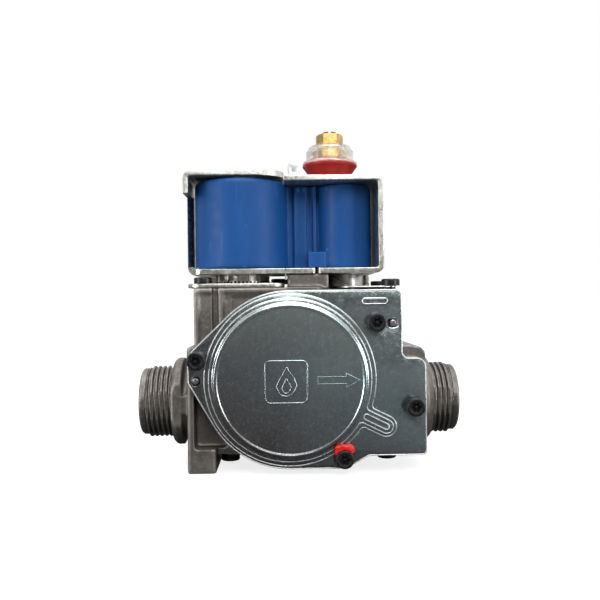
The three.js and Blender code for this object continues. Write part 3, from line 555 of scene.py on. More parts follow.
# ---------- screws
def star(outer, inner, lobes=6, n=48):
    """The rounded outline of a lobed driver recess."""
    mid, swing = (outer + inner) / 2, (outer - inner) / 2
    reach = [(mid + swing * math.cos(lobes * a), a) for a in full_turn(n)]
    return [(r * math.cos(a), r * math.sin(a)) for r, a in reach]


def screw(name, head_r, head_h, at, axis, length, look="black", shank_r=SHANK_R):
    """A round-headed screw with a six-lobed recess; the head stands on at, along axis."""
    head = turned([(0, -length), (shank_r, -length, 0.4), (shank_r, 0), (head_r, 0, 0.12),
                   (head_r, head_h, 0.55), (head_r * 0.66, head_h, 0.12), (head_r * 0.62, head_h - 0.25, 0.1),
                   (0, head_h - 0.25)], axis, at, 64)
    depth = min(2.2, head_h - 0.4)
    recess = plate(star(head_r * 0.58, head_r * 0.4), head_h - depth, head_h + 1, axis, at=at)
    pin = turned([(0, head_h - depth - 0.2), (0.5, head_h - depth - 0.2), (0.5, head_h - 0.8, 0.25),
                  (0, head_h - 0.8)], axis, at, 20)
    made = combine(head, [pin], [recess], cut_first=True)
    return piece(name + "_fine", made, look, name)


for side, (x, z) in COVER_SCREWS.items():
    screw("cover_screw_" + side, 3.2, 4.2, (x, COVER_FRONT - 0.05, z), "-Y", 9)
for i, (x, y) in enumerate(EV1_SCREWS):
    screw(f"ev1_screw_{i + 1}", 3.3, 2.2, (x, y, EV1_PLATE + 0.05), "Z", 8)
for i, (x, y) in enumerate(EV2_SCREWS):
    screw(f"ev2_screw_{i + 1}", 3.3, 2.4, (x, y, EV2_PLATE + 0.05), "Z", 8)
for i, (x, y) in enumerate(BOTTOM_SCREWS):
    screw(f"bottom_screw_{i + 1}", 3.4, 2.4, (x, y, BODY_BOTTOM - 1.5), "-Z", 8)
for i, (x, y) in enumerate(REG_SCREWS):
    screw(f"regulator_screw_{i + 1}", 2.4, 1.8, (x, y, 26.65), "Z", 9, shank_r=1.2)
screw("coil_screw", 3.3, 2.3, (*COIL_SCREW, YOKE_TOP - 2.0), "Z", 44, "tin")


# ---------- diaphragm cover
def cover_outline():
    ear_x, ear_low, ear_high, tip_x, tip_z = -39.1, 9.1, 17.0, -37.7, 20.0
    right, top, shelf, low_right, bottom = 35.8, 40.8, 16.9, 44.0, -17.1
    lug_x, lug_z = COVER_SCREWS["bottom"]

    def touch(px, pz, side):
        dx, dz = px - DOME_X, pz - DOME_Z
        return math.degrees(math.atan2(dz, dx) + side * math.acos(FLANGE_R / math.hypot(dx, dz)))

    out = arc(lug_x, lug_z, 3.9, -90, -45)
    out += rounded([out[-1], (lug_x + 8.6, bottom, 1.5), (low_right, bottom, 1.6), (low_right, shelf, 3.4),
                    (right, shelf, 2.0), (right, top, 2.8), (DOME_X + 4, DOME_Z + FLANGE_R)], False)[1:]
    out += arc(DOME_X, DOME_Z, FLANGE_R, 90, touch(tip_x, tip_z, -1) % 360, 3)
    low_arc = arc(DOME_X, DOME_Z, FLANGE_R, touch(ear_x, ear_low, 1) % 360, 270, 3)
    out += rounded([out[-1], (tip_x, tip_z, 0.8), (ear_x, ear_high, 1.5), (ear_x, ear_low, 1.2), low_arc[0]],
                   False)[1:]
    return out + low_arc[1:]


CHANNEL_TURN = math.radians(-26.5)


def by_channel(points):
    """Points along and across the pressed channel, turned to its direction from the dome's centre."""
    c, s = math.cos(CHANNEL_TURN), math.sin(CHANNEL_TURN)
    return [(u * c - v * s, u * s + v * c) for u, v in points]


def keyhole(r, half, reach):
    """The outline of the round pressing with the channel that leaves it."""
    a = math.degrees(math.asin(half / r))
    neck = math.sqrt(r * r - half * half)
    corner = rounded([(reach, half), (neck, half, 1.2), arc(0, 0, r, a + 4, 90)[0]], False)
    other = [(u, -v) for u, v in corner[::-1]]
    round_part = arc(0, 0, r, a + 4, 356 - a, 3)
    return by_channel(arc(reach, 0, half, -90, 90) + corner[1:-1] + round_part + other[1:-1])


def capsule(half, start, end):
    return by_channel(arc(end, 0, half, -90, 90, 12) + arc(start, 0, half, 90, 270, 12))


LOWER_STEP, UPPER_STEP, GROOVE = (30.1, 3.9, 37), (28.5, 2.7, 37), (0.85, 29.3, 36.9)


def diaphragm_cover():
    at = (DOME_X, COVER_FRONT, DOME_Z)
    holes = [circle(x, z, HOLE_R, 32) for x, z in COVER_SCREWS.values()]
    for x, z, width in COVER_PINS.values():
        holes.append(rect(x - width / 2, x + width / 2, z - 1.5, z + 1.5, 1.45))
    sheet = plate(cover_outline(), COVER_FRONT, COVER_BACK, "Y", (0.5, 0.12), holes)
    steps = [plate(keyhole(*LOWER_STEP), -1, 0.75, "-Y", (0, 0.6), at=at),
             plate(keyhole(*UPPER_STEP), -0.9, 1.75, "-Y", (0, 0.7), at=at)]
    h = DOME_H
    dome = turned([(0, -1.2), (27, -1.2), (27.3, 1.7, 0.5), (26.75, 1.9, 0.35), (26.35, h, 0.75),
                   (25.3, h, 0.5), (24.9, h - 0.35, 0.5), (0, h - 0.35)], "-Y", at, 180)
    pill = plate(rect(21.7, 30.7, 35.6, 38.0, 1.15), 0, 0.7, "-Y", (0, 0.45), at=ON_COVER)
    pill_floor = plate(rect(22.4, 30.0, 36.3, 37.3, 0.45), 0.2, 1, "-Y", at=ON_COVER)
    groove = plate(capsule(*GROOVE), 0.55, 3, "-Y", at=at)
    hollow = lathe([(0, -3), (25, -3), (25, h - 2.1), (0, h - 2.1)], "-Y", at, 96)
    return combine(sheet, [*steps, dome, pill], [groove, pill_floor, hollow])


def dome_marks():
    """A flow arrow and a plain flame sign, as thin raised lines."""
    y = COVER_FRONT - DOME_H + 0.37
    line = 0.27

    def marked(points):
        return bead([(DOME_X + u, y, DOME_Z + v) for u, v in points], line)

    arrow = [(9.4, -1.2), (19.2, -1.2), (19.2, -2.4), (23.8, 0), (19.2, 2.4), (19.2, 1.2), (9.4, 1.2)]
    cx, cz, half = -1.4, -0.3, 7.2
    frame_line = rect(cx - half, cx + half, cz - half, cz + half, 1.8)

    def flame(width, low, high):
        """One side bulges lower than the other, and the tip leans."""
        side = [(0.0, low), (0.62, low + 0.08 * (high - low)), (1.0, low + 0.33 * (high - low)),
                (0.72, low + 0.6 * (high - low)), (0.18, low + 0.85 * (high - low)), (0.1, high)]
        other = [(-0.32, low + 0.72 * (high - low)), (-0.62, low + 0.55 * (high - low)),
                 (-0.95, low + 0.3 * (high - low)), (-0.6, low + 0.06 * (high - low))]
        return [(cx + width * u, cz + v, 1.2) for u, v in side + other]

    outer, inner = rounded(flame(3.6, -5.0, 5.4)), rounded(flame(1.6, -4.0, 1.2))
    return together(marked(arrow), marked(frame_line), marked(outer), marked(inner))


def highlight_beads():
    """Thin round beads round the sheet, the steps and the channel, in a lighter finish than the cover:
    painted highlight along these edges.
    """
    rim = bead([(u, COVER_FRONT + 0.1, v) for u, v in inset_loop(cover_outline(), 0.3)], 0.24)
    made = [rim, bead([(u, COVER_FRONT - 0.6, v) for u, v in rect(21.9, 30.5, 35.8, 37.8, 0.95)], 0.2)]
    for outline, inset, h in ((keyhole(*LOWER_STEP), 0.35, 0.6), (keyhole(*UPPER_STEP), 0.4, 1.55),
                              (capsule(*GROOVE), -0.15, 1.65)):
        loop = inset_loop(outline, inset)
        made.append(bead([(DOME_X + u, COVER_FRONT - h, DOME_Z + v) for u, v in loop], 0.22))
    return together(*made)


piece("diaphragm_cover_pressing", diaphragm_cover(), "cover", "diaphragm_cover", sharp=28)
piece("diaphragm_cover_marks", dome_marks(), "cover", "diaphragm_cover")
# The beads in the lighter tinned finish are painted highlight along the cover's edges.
piece("diaphragm_cover_highlight_beads", highlight_beads(), "tin", "diaphragm_cover")


def tamper_seal():
    x, z = COVER_SCREWS["bottom"]
    drop = plate(rect(x - 3.6, x + 3.0, z + 1.0, z + 5.2, 1.2), 1.3, 3.9, "-Y", (0.3, 0.8), at=ON_COVER)
    foot = plate(rect(x - 3.2, x + 3.6, z + 1.6, z + 4.6, 1.2), 0.2, 2.4, "-Y", (0.0, 0.5), at=ON_COVER)
    made = moulded(combine(drop, [foot], [rod(3.22, -1, 5, "-Y", (x, COVER_FRONT, z))]), 0.22, 4)
    texture = bpy.data.textures.new("lumps", "CLOUDS")
    texture.noise_scale = 1.6
    mod = made.modifiers.new("lumps", "DISPLACE")
    mod.texture, mod.strength, mod.mid_level, mod.texture_coords = texture, 0.45, 0.6, "LOCAL"
    return applied(made)


piece("tamper_seal_drop", tamper_seal(), "seal", "tamper_seal", sharp=60)
for side, (x, z, _) in COVER_PINS.items():
    pin = turned([(0, 0), (1.15, 0), (1.15, 7.6, 0.4), (0, 7.6)], "-Y", (x, BODY_FRONT, z), 32)
    piece("cover_pin_" + side, pin, "iron", "valve_body")


# ---------- casting
def port_thread(side):
    """One threaded port end: a helical ridge, thinned on two flats and at its run-out, around the bore."""
    around, z0, face = 160, 45.6, PORT_FACE
    pilot, chamfer, flat = 2.4, 0.7, 12.2
    rows = [z0 + (face - chamfer - z0) * i / 110 for i in range(111)]
    bm = bmesh.new()
    rings = []

    def ring(radius_at, z):
        verts = []
        for i in range(around):
            a = 2 * math.pi * i / around
            r = radius_at(a, z)
            verts.append(bm.verts.new((side * z, side * r * math.cos(a), r * math.sin(a))))
        rings.append(verts)

    def outside(a, z):
        turn = ((z - z0) / THREAD_PITCH - a / (2 * math.pi)) % 1.0
        ridge = min(1.0, max(0.0, 1.35 - 3.4 * abs(turn - 0.5)))
        ridge = ridge * ridge * (3 - 2 * ridge)
        ridge *= min(1.0, max(0.0, (face - pilot - z) / 0.7)) * min(1.0, max(0.0, (z - z0 - 0.9) / 0.8))
        lead_in = 0.25 if z > face - pilot + 0.2 else 0.0
        r = THREAD_ROOT_R + (THREAD_R - THREAD_ROOT_R) * ridge + lead_in
        side_way = abs(math.cos(a))
        return min(r, flat / side_way) if side_way > 0.5 else r

    for z in rows:
        ring(outside, z)
    root, inner_end = THREAD_ROOT_R, 36
    for r, z in ((root - 0.1, face - 0.25), (root - 0.45, face), (BORE_R + 0.4, face), (BORE_R, face - 0.4),
                 (BORE_R, inner_end), (root - 1.5, inner_end), (root - 1.5, z0 - 0.2)):
        ring(lambda a, z, r=r: r, z)
    for low, high in zip(rings, rings[1:] + rings[:1]):
        for i in range(around):
            j = (i + 1) % around
            bm.faces.new((low[i], low[j], high[j], high[i]))
    return to_object(bm)


def ribs(x_values, x_half, y0, y1, z0, z1):
    return [block(x - x_half, x + x_half, y0, y1, z0, z1) for x in x_values]


def casting():
    front, back_y = BODY_FRONT, BODY_BACK
    base = block(BODY_LEFT, BODY_RIGHT, front, back_y, 0, BODY_TOP, 1.2)
    lip = inset_loop(cover_outline(), 0.9)
    shoulder = [(30, BODY_BOTTOM), (STEP_RIGHT, BODY_BOTTOM), (STEP_RIGHT, 18.2), (43.6, 20.1), (38.6, 20.9),
                (30, 20.9)]
    add = [
        block(BODY_LEFT, 8, front, back_y, 30, BODY_TOP + 0.8, 1.0),
        block(STEP_LEFT, BODY_RIGHT, front, back_y, BODY_BOTTOM, STEP_TOP, 1.0),
        plate(shoulder, front, back_y, "Y"),
        plate(lip, SEAT_Y, front + 1, "Y", (0.3, 0)),
        block(FOOT_LEFT, FOOT_RIGHT, FOOT_FRONT, FOOT_BACK, FOOT_BOTTOM, STEP_TOP, 1.2),
        block(-3.9, 11, -14.2, 10, 38, YOKE_BOTTOM - 0.05, 0.8),
        rod(REG_R - 0.6, -8, REG_TOP, at=ON_REG, segments=96),
        block(REG.x - 9, REG.x + 14, back_y - 1, REG.y, -8, REG_TOP - 2, 1),
        rod(3.7, SEAT_Y, -12, "Y", (14.9, 0, -17.5)),
        lathe([(0, 30), (13.6, 30), (13.6, 42.4), (16.2, 42.8), (16.2, 45.2), (15.0, 46.5), (0, 46.5)], "-X"),
        lathe([(0, 34), (16.7, 34), (16.7, 46.4), (14.6, 48.6), (0, 48.6)], "X"),
        # wedge between the inlet's collar and the body, and a raised pad round the sealing plug at the back
        plate([(-37, -9.5), (-37, 9.5), (-41.5, 3.2), (-44.2, 2.4), (-44.2, -2.4), (-41.5, -3.2)],
              -14, 14, "Y"),
        rod(11.8, back_y - 1, back_y + 1.2, "Y", (DOME_X, 0, DOME_Z)),
        # edge line and ridges on the front above the foot
        block(-28.3, -26.9, front - 0.7, front + 1, STEP_TOP, BODY_TOP + 0.4),
        block(BODY_LEFT, BODY_LEFT + 1.7, front - 0.8, front + 1, STEP_TOP - 1, BODY_TOP + 0.2),
        block(BODY_LEFT + 1, -5, front - 0.5, front + 1, BODY_TOP - 0.9, BODY_TOP + 0.7),
    ]
    add += [block(x - 5.4, x + 5.4, back_y - 1, y + 5.4, 4, 18, 1.5) for x, y in TEST_POINTS.values()]
    # ribs on the back wall, below the regulator block, and on both ends
    add += ribs((-34, -15, -10.5, 3.5, 31.5), 0.8, back_y - 1, back_y + 1.4, 19, 38)
    add += [block(-36, 34, back_y - 1, back_y + 1.0, z - 0.7, z + 0.7) for z in (-15.6, 38.6)]
    add.append(block(STEP_LEFT, STEP_LEFT + 2, 16.7, 18.3, -15, 19))
    add += ribs((6, 24.5), 0.8, REG.y + 2, REG.y + REG_R - 1.6, -7.6, REG_TOP - 3)
    cut = [
        plate(rect(FOOT_LEFT + 2.6, FOOT_RIGHT + 4, -14.7, 6, 1.4), FOOT_FRONT - 1, FOOT_FRONT + 6, "Y"),
        block(-31, -28.9, front - 1, front + 1.3, STEP_TOP + 1, BODY_TOP + 2),
        block(-24, -8, front - 1, front + 0.5, 33, BODY_TOP - 2),
        lathe([(0, 25), (BORE_R, 25), (BORE_R, 50), (0, 50)], "-X"),
        lathe([(0, 6), (BORE_R, 6), (BORE_R, 50), (0, 50)], "X"),
        rod(7.6, 5, 24, "Y", (DOME_X, 0, DOME_Z)),
        rod(24.6, SEAT_Y - 1, -14, "Y", (DOME_X, 0, DOME_Z), 96),
        rod(EV1_TUBE_HOLE, 30, 44, at=ON_EV1),
        rod(12, REG_TOP - 4, REG_TOP + 1, at=ON_REG),
        rod(COIL_HOLE_R, 28, YOKE_BOTTOM + 1, at=ON_COIL_SCREW, segments=24),
        # panels sunk into the two ends and the underside
        block(-50, STEP_LEFT + 0.7, 6.5, 15.5, -14, 17.5, 0.5),
        plate(rect(-22, 28, -9, 16, 3), BODY_BOTTOM - 1, BODY_BOTTOM + 3, "Z"),
        plate(rect(23.5, 33.5, 24, 37.5, 2), BODY_BACK - 1, BODY_BACK + 0.7, "Y"),
    ]
    cut += [rod(HOLE_R, SEAT_Y - 1, SEAT_Y + 9, "Y", (x, 0, z), 24) for x, z in COVER_SCREWS.values()]
    cut += drills(EV1_SCREWS + EV2_SCREWS, BODY_TOP - 9, BODY_TOP + 3)
    cut += drills(BOTTOM_SCREWS, BODY_BOTTOM - 1, BODY_BOTTOM + 9)
    cut += drills(TEST_POINTS.values(), 9, 19, 3.1, 32)
    cut += drills(REG_SCREWS, REG_TOP - 8, REG_TOP + 1, 1.35, 20)
    collar_flats = [block(-48, -42.2, y0, y1, -20, 20) for y0, y1 in ((-20, -14.3), (14.3, 20))]
    return moulded(combine(base, add, cut + collar_flats), 0.5, 2)


piece("casting_body", casting(), "cast", "valve_body", sharp=50)
for side, label in ((-1, "inlet"), (1, "outlet")):
    piece(label + "_port_thread", port_thread(side), "thread", "valve_body", sharp=50)


# ---------- solenoid group
EV1_CLEAR_R, EV2_CLEAR_R = 7.3, 4.9  # openings round the two tubes


def coil_moulding():
    bottom, left_top, right_top = COIL_BOTTOM, COIL_LEFT_TOP, COIL_RIGHT_TOP

    def drum(r, top, soft, at, segments):
        return turned([(0, bottom), (r, bottom, 0.8), (r, top, soft), (0, top)], at=at, segments=segments)

    left = drum(EV1_COIL_R, left_top, 1.6, ON_EV1, 160)
    add = [
        drum(EV2_COIL_R, right_top, 1.2, ON_EV2, 120),
        block(-6, 9, -2, 12, bottom, right_top),
        block(-3.1, -1.0, -2.7, 0, bottom, right_top),
        block(-1.1, 3.4, -3.4, 0, bottom, right_top),
        block(-1.25, -0.75, -3.75, 0, bottom, right_top),
        block(5.9, 7.2, -3.4, 0, 54, right_top),
        block(3.8, 10.6, -7.6, 0, bottom + 0.3, 55.1, 0.6),
        block(-17, -1, 10, 22, 60, 72, 0.8),
        block(-18.2, 0.2, 8, 12.5, 58.6, 73.4, 0.8),
    ]
    stud = [(0, 3.0), (0.55, 3.0), (0.55, 4.1, 0.3), (0, 4.1)]
    add += [turned(stud, "-Y", (x, 0, right_top - 1.3), 24) for x in (-0.1, 2.4)]
    add += [block(-17.4, -0.6, 21, 24.5, z0, z0 + 1.4, 0.5) for z0 in (60, 70.6)]
    add += [block(x - 0.6, x + 0.6, 21, 24.5, 60, 72) for x in (-16.8, -11.5, -6.5, -1.2)]
    cut = [
        block(YOKE_SEAM - 0.3, 40, -20, 25, right_top, 90),
        rod(EV1_CLEAR_R, bottom - 1, 90, at=ON_EV1),
        rod(EV2_CLEAR_R, bottom - 1, 90, at=ON_EV2),
        rod(2.1, bottom - 1, 90, at=ON_COIL_SCREW, segments=24),
    ]
    return moulded(combine(left, add, cut), 0.42, 2)


piece("coil_moulding_body", coil_moulding(), "blue", "coil_moulding", sharp=50)
for i, x in enumerate((-14, -9, -4)):
    outline = rounded([(x - 1.4, 22.05), (x + 1.4, 22.05), (x + 1.4, 28.5, 0.9), (x - 1.4, 28.5, 0.9)])
    blade = plate(outline, 65.6, 66.4, "Z", (0.12, 0.12), [circle(x, 26, 0.55, 20)])
    piece(f"coil_terminal_{i + 1}_blade", blade, "tin", f"coil_terminal_{i + 1}")


def bent_strip(wall, inward, top_end, bottom_end, top):
    """The bent strip's section, outside round then inside back."""
    t, b = YOKE_SHEET, YOKE_BOTTOM
    inner = wall + inward * t
    return rounded([
        (bottom_end, b, 0.35), (wall, b, 3.2), (wall, top, 3.2), (top_end, top, 0.35),
        (top_end, top - t, 0.35), (inner, top - t, 1.2), (inner, b + t, 1.2), (bottom_end, b + t, 0.35),
    ])


def corner_cutter(x, y, r, sx, sy, z0, z1):
    """Takes a square corner at x, y back to a round one; sx and sy point into the sheet."""
    centre = (x + sx * r, y + sy * r)
    curve = [(centre[0] - sx * r * math.cos(a), centre[1] - sy * r * math.sin(a))
             for a in [math.pi / 2 * i / 12 for i in range(13)]]
    outline = [(x - sx, centre[1]), *curve, (centre[0], y - sy), (x - sx, y - sy)]
    return plate(outline, z0, z1)


def foot_corner(x, y, r, sx, sy):
    return corner_cutter(x, y, r, sx, sy, YOKE_BOTTOM - 1, YOKE_BOTTOM + 3)


def yoke_left():
    end, wall_end = 6.2, -38
    strip = plate(bent_strip(YOKE_LEFT, 1, YOKE_SEAM, end, YOKE_TOP), YOKE_FRONT, YOKE_BACK, "Y", (0.3, 0.3))
    cut = [
        block(YOKE_LEFT - 1, wall_end, YOKE_FRONT - 1, -2.2, 45, 76.2),
        plate([(-41.1, -2.3), (-39.0, -2.3), (-39.0, 1.4)], 50.2, 76.2),
        corner_cutter(YOKE_SEAM, YOKE_FRONT, 9, -1, 1, YOKE_TOP - 3, YOKE_TOP + 1),
        foot_corner(wall_end, YOKE_FRONT, 3.5, 1, 1),
        foot_corner(end, YOKE_FRONT, 1.2, -1, 1),
        foot_corner(end, YOKE_BACK, 1.2, -1, -1),
        rod(EV1_CLEAR_R - 0.05, 40, 90, at=ON_EV1),
        rod(COIL_HOLE_R, 40, 90, at=ON_COIL_SCREW, segments=24),
        block(-4.75, -4.45, YOKE_FRONT - 1, -10, YOKE_BOTTOM + 0.6, YOKE_BOTTOM + 3),
    ]
    tab = block(-4.9, -4.3, YOKE_FRONT + 0.6, -10, 44.8, YOKE_BOTTOM + 0.4)
    return combine(strip, [tab], cut)


def yoke_right():
    end, top = 7.1, YOKE_TOP - YOKE_SHEET - 0.05
    strip = plate(bent_strip(YOKE_RIGHT, -1, YOKE_SEAM, end, top), YOKE_FRONT, YOKE_BACK, "Y", (0.3, 0.3))
    cut = [
        foot_corner(end, YOKE_FRONT, 1.2, 1, 1),
        foot_corner(end, YOKE_BACK, 1.2, 1, -1),
        rod(EV2_CLEAR_R - 0.05, 40, 90, at=ON_EV2),
        rod(COIL_HOLE_R, 40, 90, at=ON_COIL_SCREW, segments=24),
    ]
    return combine(strip, cut=cut)


piece("coil_yoke_left_strip", yoke_left(), "sheet", "coil_yoke_left")
piece("coil_yoke_right_strip", yoke_right(), "sheet", "coil_yoke_right")

flange_1 = plate(rect(-40, -5, -16, 18, 5), 42.25, EV1_PLATE, "Z", (0.1, 0.35))
upstand = block(-35, -11, 16.9, 17.95, EV1_PLATE - 1, YOKE_BOTTOM, 0.3)
flange_1 = combine(flange_1, [upstand], drills(EV1_SCREWS, 40, 50) + [rod(EV1_CLEAR_R, 40, 50, at=ON_EV1)])
piece("ev1_flange_sheet", flange_1, "sheet", "ev1_flange_plate")
flange_2 = plate(rect(14.5, 35.1, -17.1, 19.9, 5), 41.65, EV2_PLATE, "Z", (0.05, 0.25),
                 [circle(x, y, HOLE_R, 24) for x, y in EV2_SCREWS] + [circle(*EV2, EV2_CLEAR_R, 32)])
piece("ev2_flange_sheet", flange_2, "sheet", "ev2_flange_plate")


def lock_ring():
    """A toothed washer with a castellated ring on it."""
    n = 44
    teeth = []
    for i in range(n):
        for share, r in ((0.0, 9.9), (0.3, 10.5), (0.6, 10.5), (0.9, 9.9)):
            a = 2 * math.pi * (i + share) / n
            teeth.append((EV1.x + r * math.cos(a), EV1.y + r * math.sin(a)))
    low = EV1_PLATE + 0.05
    washer = plate(teeth, low, low + 0.8, "Z", (0.05, 0.15), [circle(EV1.x, EV1.y, 7.2, 64)])
    top, posts = YOKE_BOTTOM - 0.1, 14
    ring = turned([(7.15, low + 0.1), (10.2, low + 0.1), (10.2, top, 0.2), (7.15, top, 0.2)], at=ON_EV1)
    slots = []
    for i in range(posts):
        slot = plate(rect(8.2, 12, -1.6, 1.6), low + 0.9, YOKE_BOTTOM + 1)
        turn = Matrix.Rotation(math.radians(-96 + (i + 0.5) * 360 / posts), 4, "Z")
        slot.data.transform(Matrix.Translation(ON_EV1) @ turn)
        slots.append(slot)
    return washer, combine(ring, cut=slots)


toothed, castle = lock_ring()
piece("ev1_toothed_washer", toothed, "black", "ev1_lock_ring")
piece("ev1_castle_ring", castle, "sheet", "ev1_lock_ring")
collar = turned([(4.75, 42.3), (6.6, 42.3, 0.15), (6.2, 44.6, 0.2), (5.9, 46.8, 0.3), (4.75, 46.8, 0.2)],
                at=ON_EV2)
piece("ev2_turned_collar", collar, "iron", "ev2_collar")

# ---------- bottom cover
under = BODY_BOTTOM - 0.05
pan = plate(rect(-29.2, 36.5, -11.8, 19, 4), under - 1.4, under, "Z", (0.5, 0.1),
            [circle(x, y, HOLE_R, 24) for x, y in BOTTOM_SCREWS])
swage = plate(rect(-18, 26, -4.5, 10.5, 3), 0, 0.7, "-Z", (0, 0.55), at=(0, 0, under - 1.4))
piece("bottom_cover_pressing", combine(pan, [swage]), "sheet", "bottom_cover")

# ---------- regulator and modulator
housing = turned([(12, 22.9), (REG_R, 22.9, 0.4), (REG_R, 26.6, 1.0), (12.6, 26.6, 0.8), (11.6, 31, 0.8),
                  (3.6, 31), (3.6, 29), (9, 29), (12, 25)], at=ON_REG)
fins = [plate(rect(REG.x + 11, REG.x + 16, REG.y - 0.7, REG.y + 0.7, 0.3), 26, 28.8) for _ in range(8)]
for i, fin in enumerate(fins):
    turn = Matrix.Rotation(math.radians(22.5 + 45 * i), 4, "Z")
    fin.data.transform(Matrix.Translation(ON_REG) @ turn @ Matrix.Translation(-Vector(ON_REG)))
housing = combine(housing, fins, drills(REG_SCREWS, 20, 40, 1.45))
piece("regulator_housing_casting", housing, "cast", "regulator_housing")

half_w, half_d, wall, mod_low = 15.0, 13.0, 1.8, 31.05
frame_outer = rect(REG.x - half_w, REG.x + half_w, mod_low, MOD_TOP, 2.4)
frame_inner = rect(REG.x - half_w + wall, REG.x + half_w - wall, mod_low + wall, MOD_TOP - wall, 0.8)
mod_yoke = plate(frame_outer, REG.y - half_d, REG.y + half_d, "Y", (0.3, 0.3), [frame_inner])
mod_yoke = combine(mod_yoke, cut=[rod(3.7, 20, 40, at=ON_REG), rod(8.1, 80, 100, at=ON_REG)])
piece("modulator_yoke_frame", mod_yoke, "sheet", "modulator_yoke")

bobbin = turned([(3.7, 33), (12.4, 33, 0.4), (12.4, 35, 0.4), (6.2, 35), (6.2, 83.5), (12.4, 83.5, 0.4),
                 (12.4, 85.8, 0.4), (7.9, 85.8), (7.9, 89.0, 1.5), (11.3, 93.9, 0.6), (11.7, 94.3, 0.2),
                 (11.7, 95.2, 0.3), (9.6, 96.9, 0.3), (9.2, 97.3, 0.1), (4.8, 97.3, 0.1), (4.8, 60),
                 (3.7, 60)], at=ON_REG, segments=120)
piece("modulator_bobbin_moulding", bobbin, "red", "modulator_bobbin")
for i, dy in enumerate((-4.2, 2.6)):
    y = REG.y + dy
    outline = rounded([(-2.9, 83.3), (0.1, 83.3), (0.1, 88.5, 0.4), (1.9, 88.5, 0.4), (1.9, 96.6, 1.5),
                       (-2.9, 96.6, 1.5)])
    blade = plate(outline, y - 0.4, y + 0.4, "Y", (0.15, 0.15), [circle(-0.5, 92.5, 0.8, 24)])
    foot = block(-2.8, REG.x - half_w - 0.05, y - 2.3, y + 2.3, 83.25, 84.0)
    piece(f"modulator_terminal_{i + 1}_blade", combine(blade, [foot]), "tin", f"modulator_terminal_{i + 1}")


def hexagon(across, u=REG.x, v=REG.y):
    k = across / math.sqrt(3)
    return [(u + k * math.cos(i * math.pi / 3), v + k * math.sin(i * math.pi / 3)) for i in range(6)]


def adjuster_nut():
    """Brass nut for the highest pressure: two hexagons with turned corners, bored for the inner screw."""
    stem = turned([(0, 88), (4.5, 88, 0.3), (4.5, 99.5), (5.2, 99.5), (5.2, 103.6), (0, 103.6)], at=ON_REG)
    parts = []
    for across, z0, z1 in ((12.9, 98.6, 101.3), (10.0, 103.0, 108.2)):
        corner = across / math.sqrt(3)
        hexagonal = plate(hexagon(across), z0, z1)
        limit = lathe([(0, z0), (corner - 0.5, z0), (corner + 0.05, z0 + 0.4), (corner + 0.05, z1 - 0.55),
                       (corner - 0.8, z1), (0, z1)], at=ON_REG)
        mod = hexagonal.modifiers.new("turned", "BOOLEAN")
        mod.operation, mod.object, mod.solver = "INTERSECT", limit, "MANIFOLD"
        parts.append(applied(hexagonal))
        bpy.data.objects.remove(limit)
    bores = [rod(3.5, 97, 112, at=ON_REG), rod(2.5, 86, 112, at=ON_REG)]
    return combine(stem, parts, bores)


piece("max_adjuster_nut_turned", adjuster_nut(), "brass", "max_adjuster_nut", "max_adjuster")
red_screw = turned([(0, 90), (2.2, 90), (2.2, 97.2), (3.2, 97.2, 0.2), (3.2, 109.3, 0.5), (0, 109.3)],
                   at=ON_REG, segments=64)
slot = block(REG.x - 0.65, REG.x + 0.65, REG.y - 5, REG.y + 5, 107.2, 111)
piece("min_adjuster_screw_head", combine(red_screw, cut=[slot]), "red", "min_adjuster_screw", "min_adjuster")
cap = turned([(11.7, 95.35), (11.7, 96.1, 0.3), (10.5, 97.1, 0.5), (10.2, 98, 0.3), (10.2, 101, 0.5),
              (9.2, 101.7, 0.3), (9.0, 102.7, 0.4), (8.2, 103.2, 0.2), (6.4, 103.4, 0.2), (6.4, 102.9, 0.2),
              (7.9, 102.6, 0.3), (8.4, 102, 0.2), (8.5, 101.2, 0.2), (9.6, 100.6, 0.4), (9.65, 97.05)],
             at=ON_REG, segments=120)
piece("adjuster_cap_shell", cap, "clear", "adjuster_cap", "cap", sharp=60)

# ---------- rear plug and test points
plug = turned([(0, 18), (7.4, 18), (7.4, 20.1), (9.2, 20.1, 0.3), (9.2, 22.6, 0.7), (0, 22.6)], "Y",
              (DOME_X, 0, DOME_Z))
socket = plate(hexagon(6, DOME_X, DOME_Z), 20.6, 24, "Y")
piece("rear_plug_turned", combine(plug, cut=[socket]), "brass", "rear_plug")
for label, (x, y) in TEST_POINTS.items():
    nipple = turned([(2.2, 10.2), (3, 10.2), (3, 18.1), (5, 18.1, 0.3), (5, 20.1, 0.3), (3.9, 20.3, 0.3),
                     (4.0, 22.5), (4.45, 22.6, 0.2), (4.1, 24.6), (4.45, 24.7, 0.2), (4.1, 26.7),
                     (4.35, 26.8, 0.2), (3.7, 28.2, 0.3), (2.2, 28.2)], at=(x, y, 0), segments=64)
    piece(label + "_test_nipple_turned", nipple, "tin", label + "_test_nipple")
    needle = turned([(0, 14), (2.05, 14, 0.5), (2.05, 26.6, 0.4), (0, 26.6)], at=(x, y, 0), segments=40)
    needle = combine(needle, cut=[block(x - 0.4, x + 0.4, y - 3, y + 3, 25.2, 28)])
    piece(label + "_test_screw_turned", needle, "black", label + "_test_screw", label + "_test_needle")

# ---------- stage and light
# direction, strength before, strength after, from this much along the direction, to this much
STUDIO_FALL = [((0, 0, 1), 0.45, 1.2, -0.5, 0.8), ((0, 1, 0), 0.1, 1.25, -0.97, -0.1),
               ((0.8, 0, 0.6), 0.7, 1.2, -0.5, 0.5)]


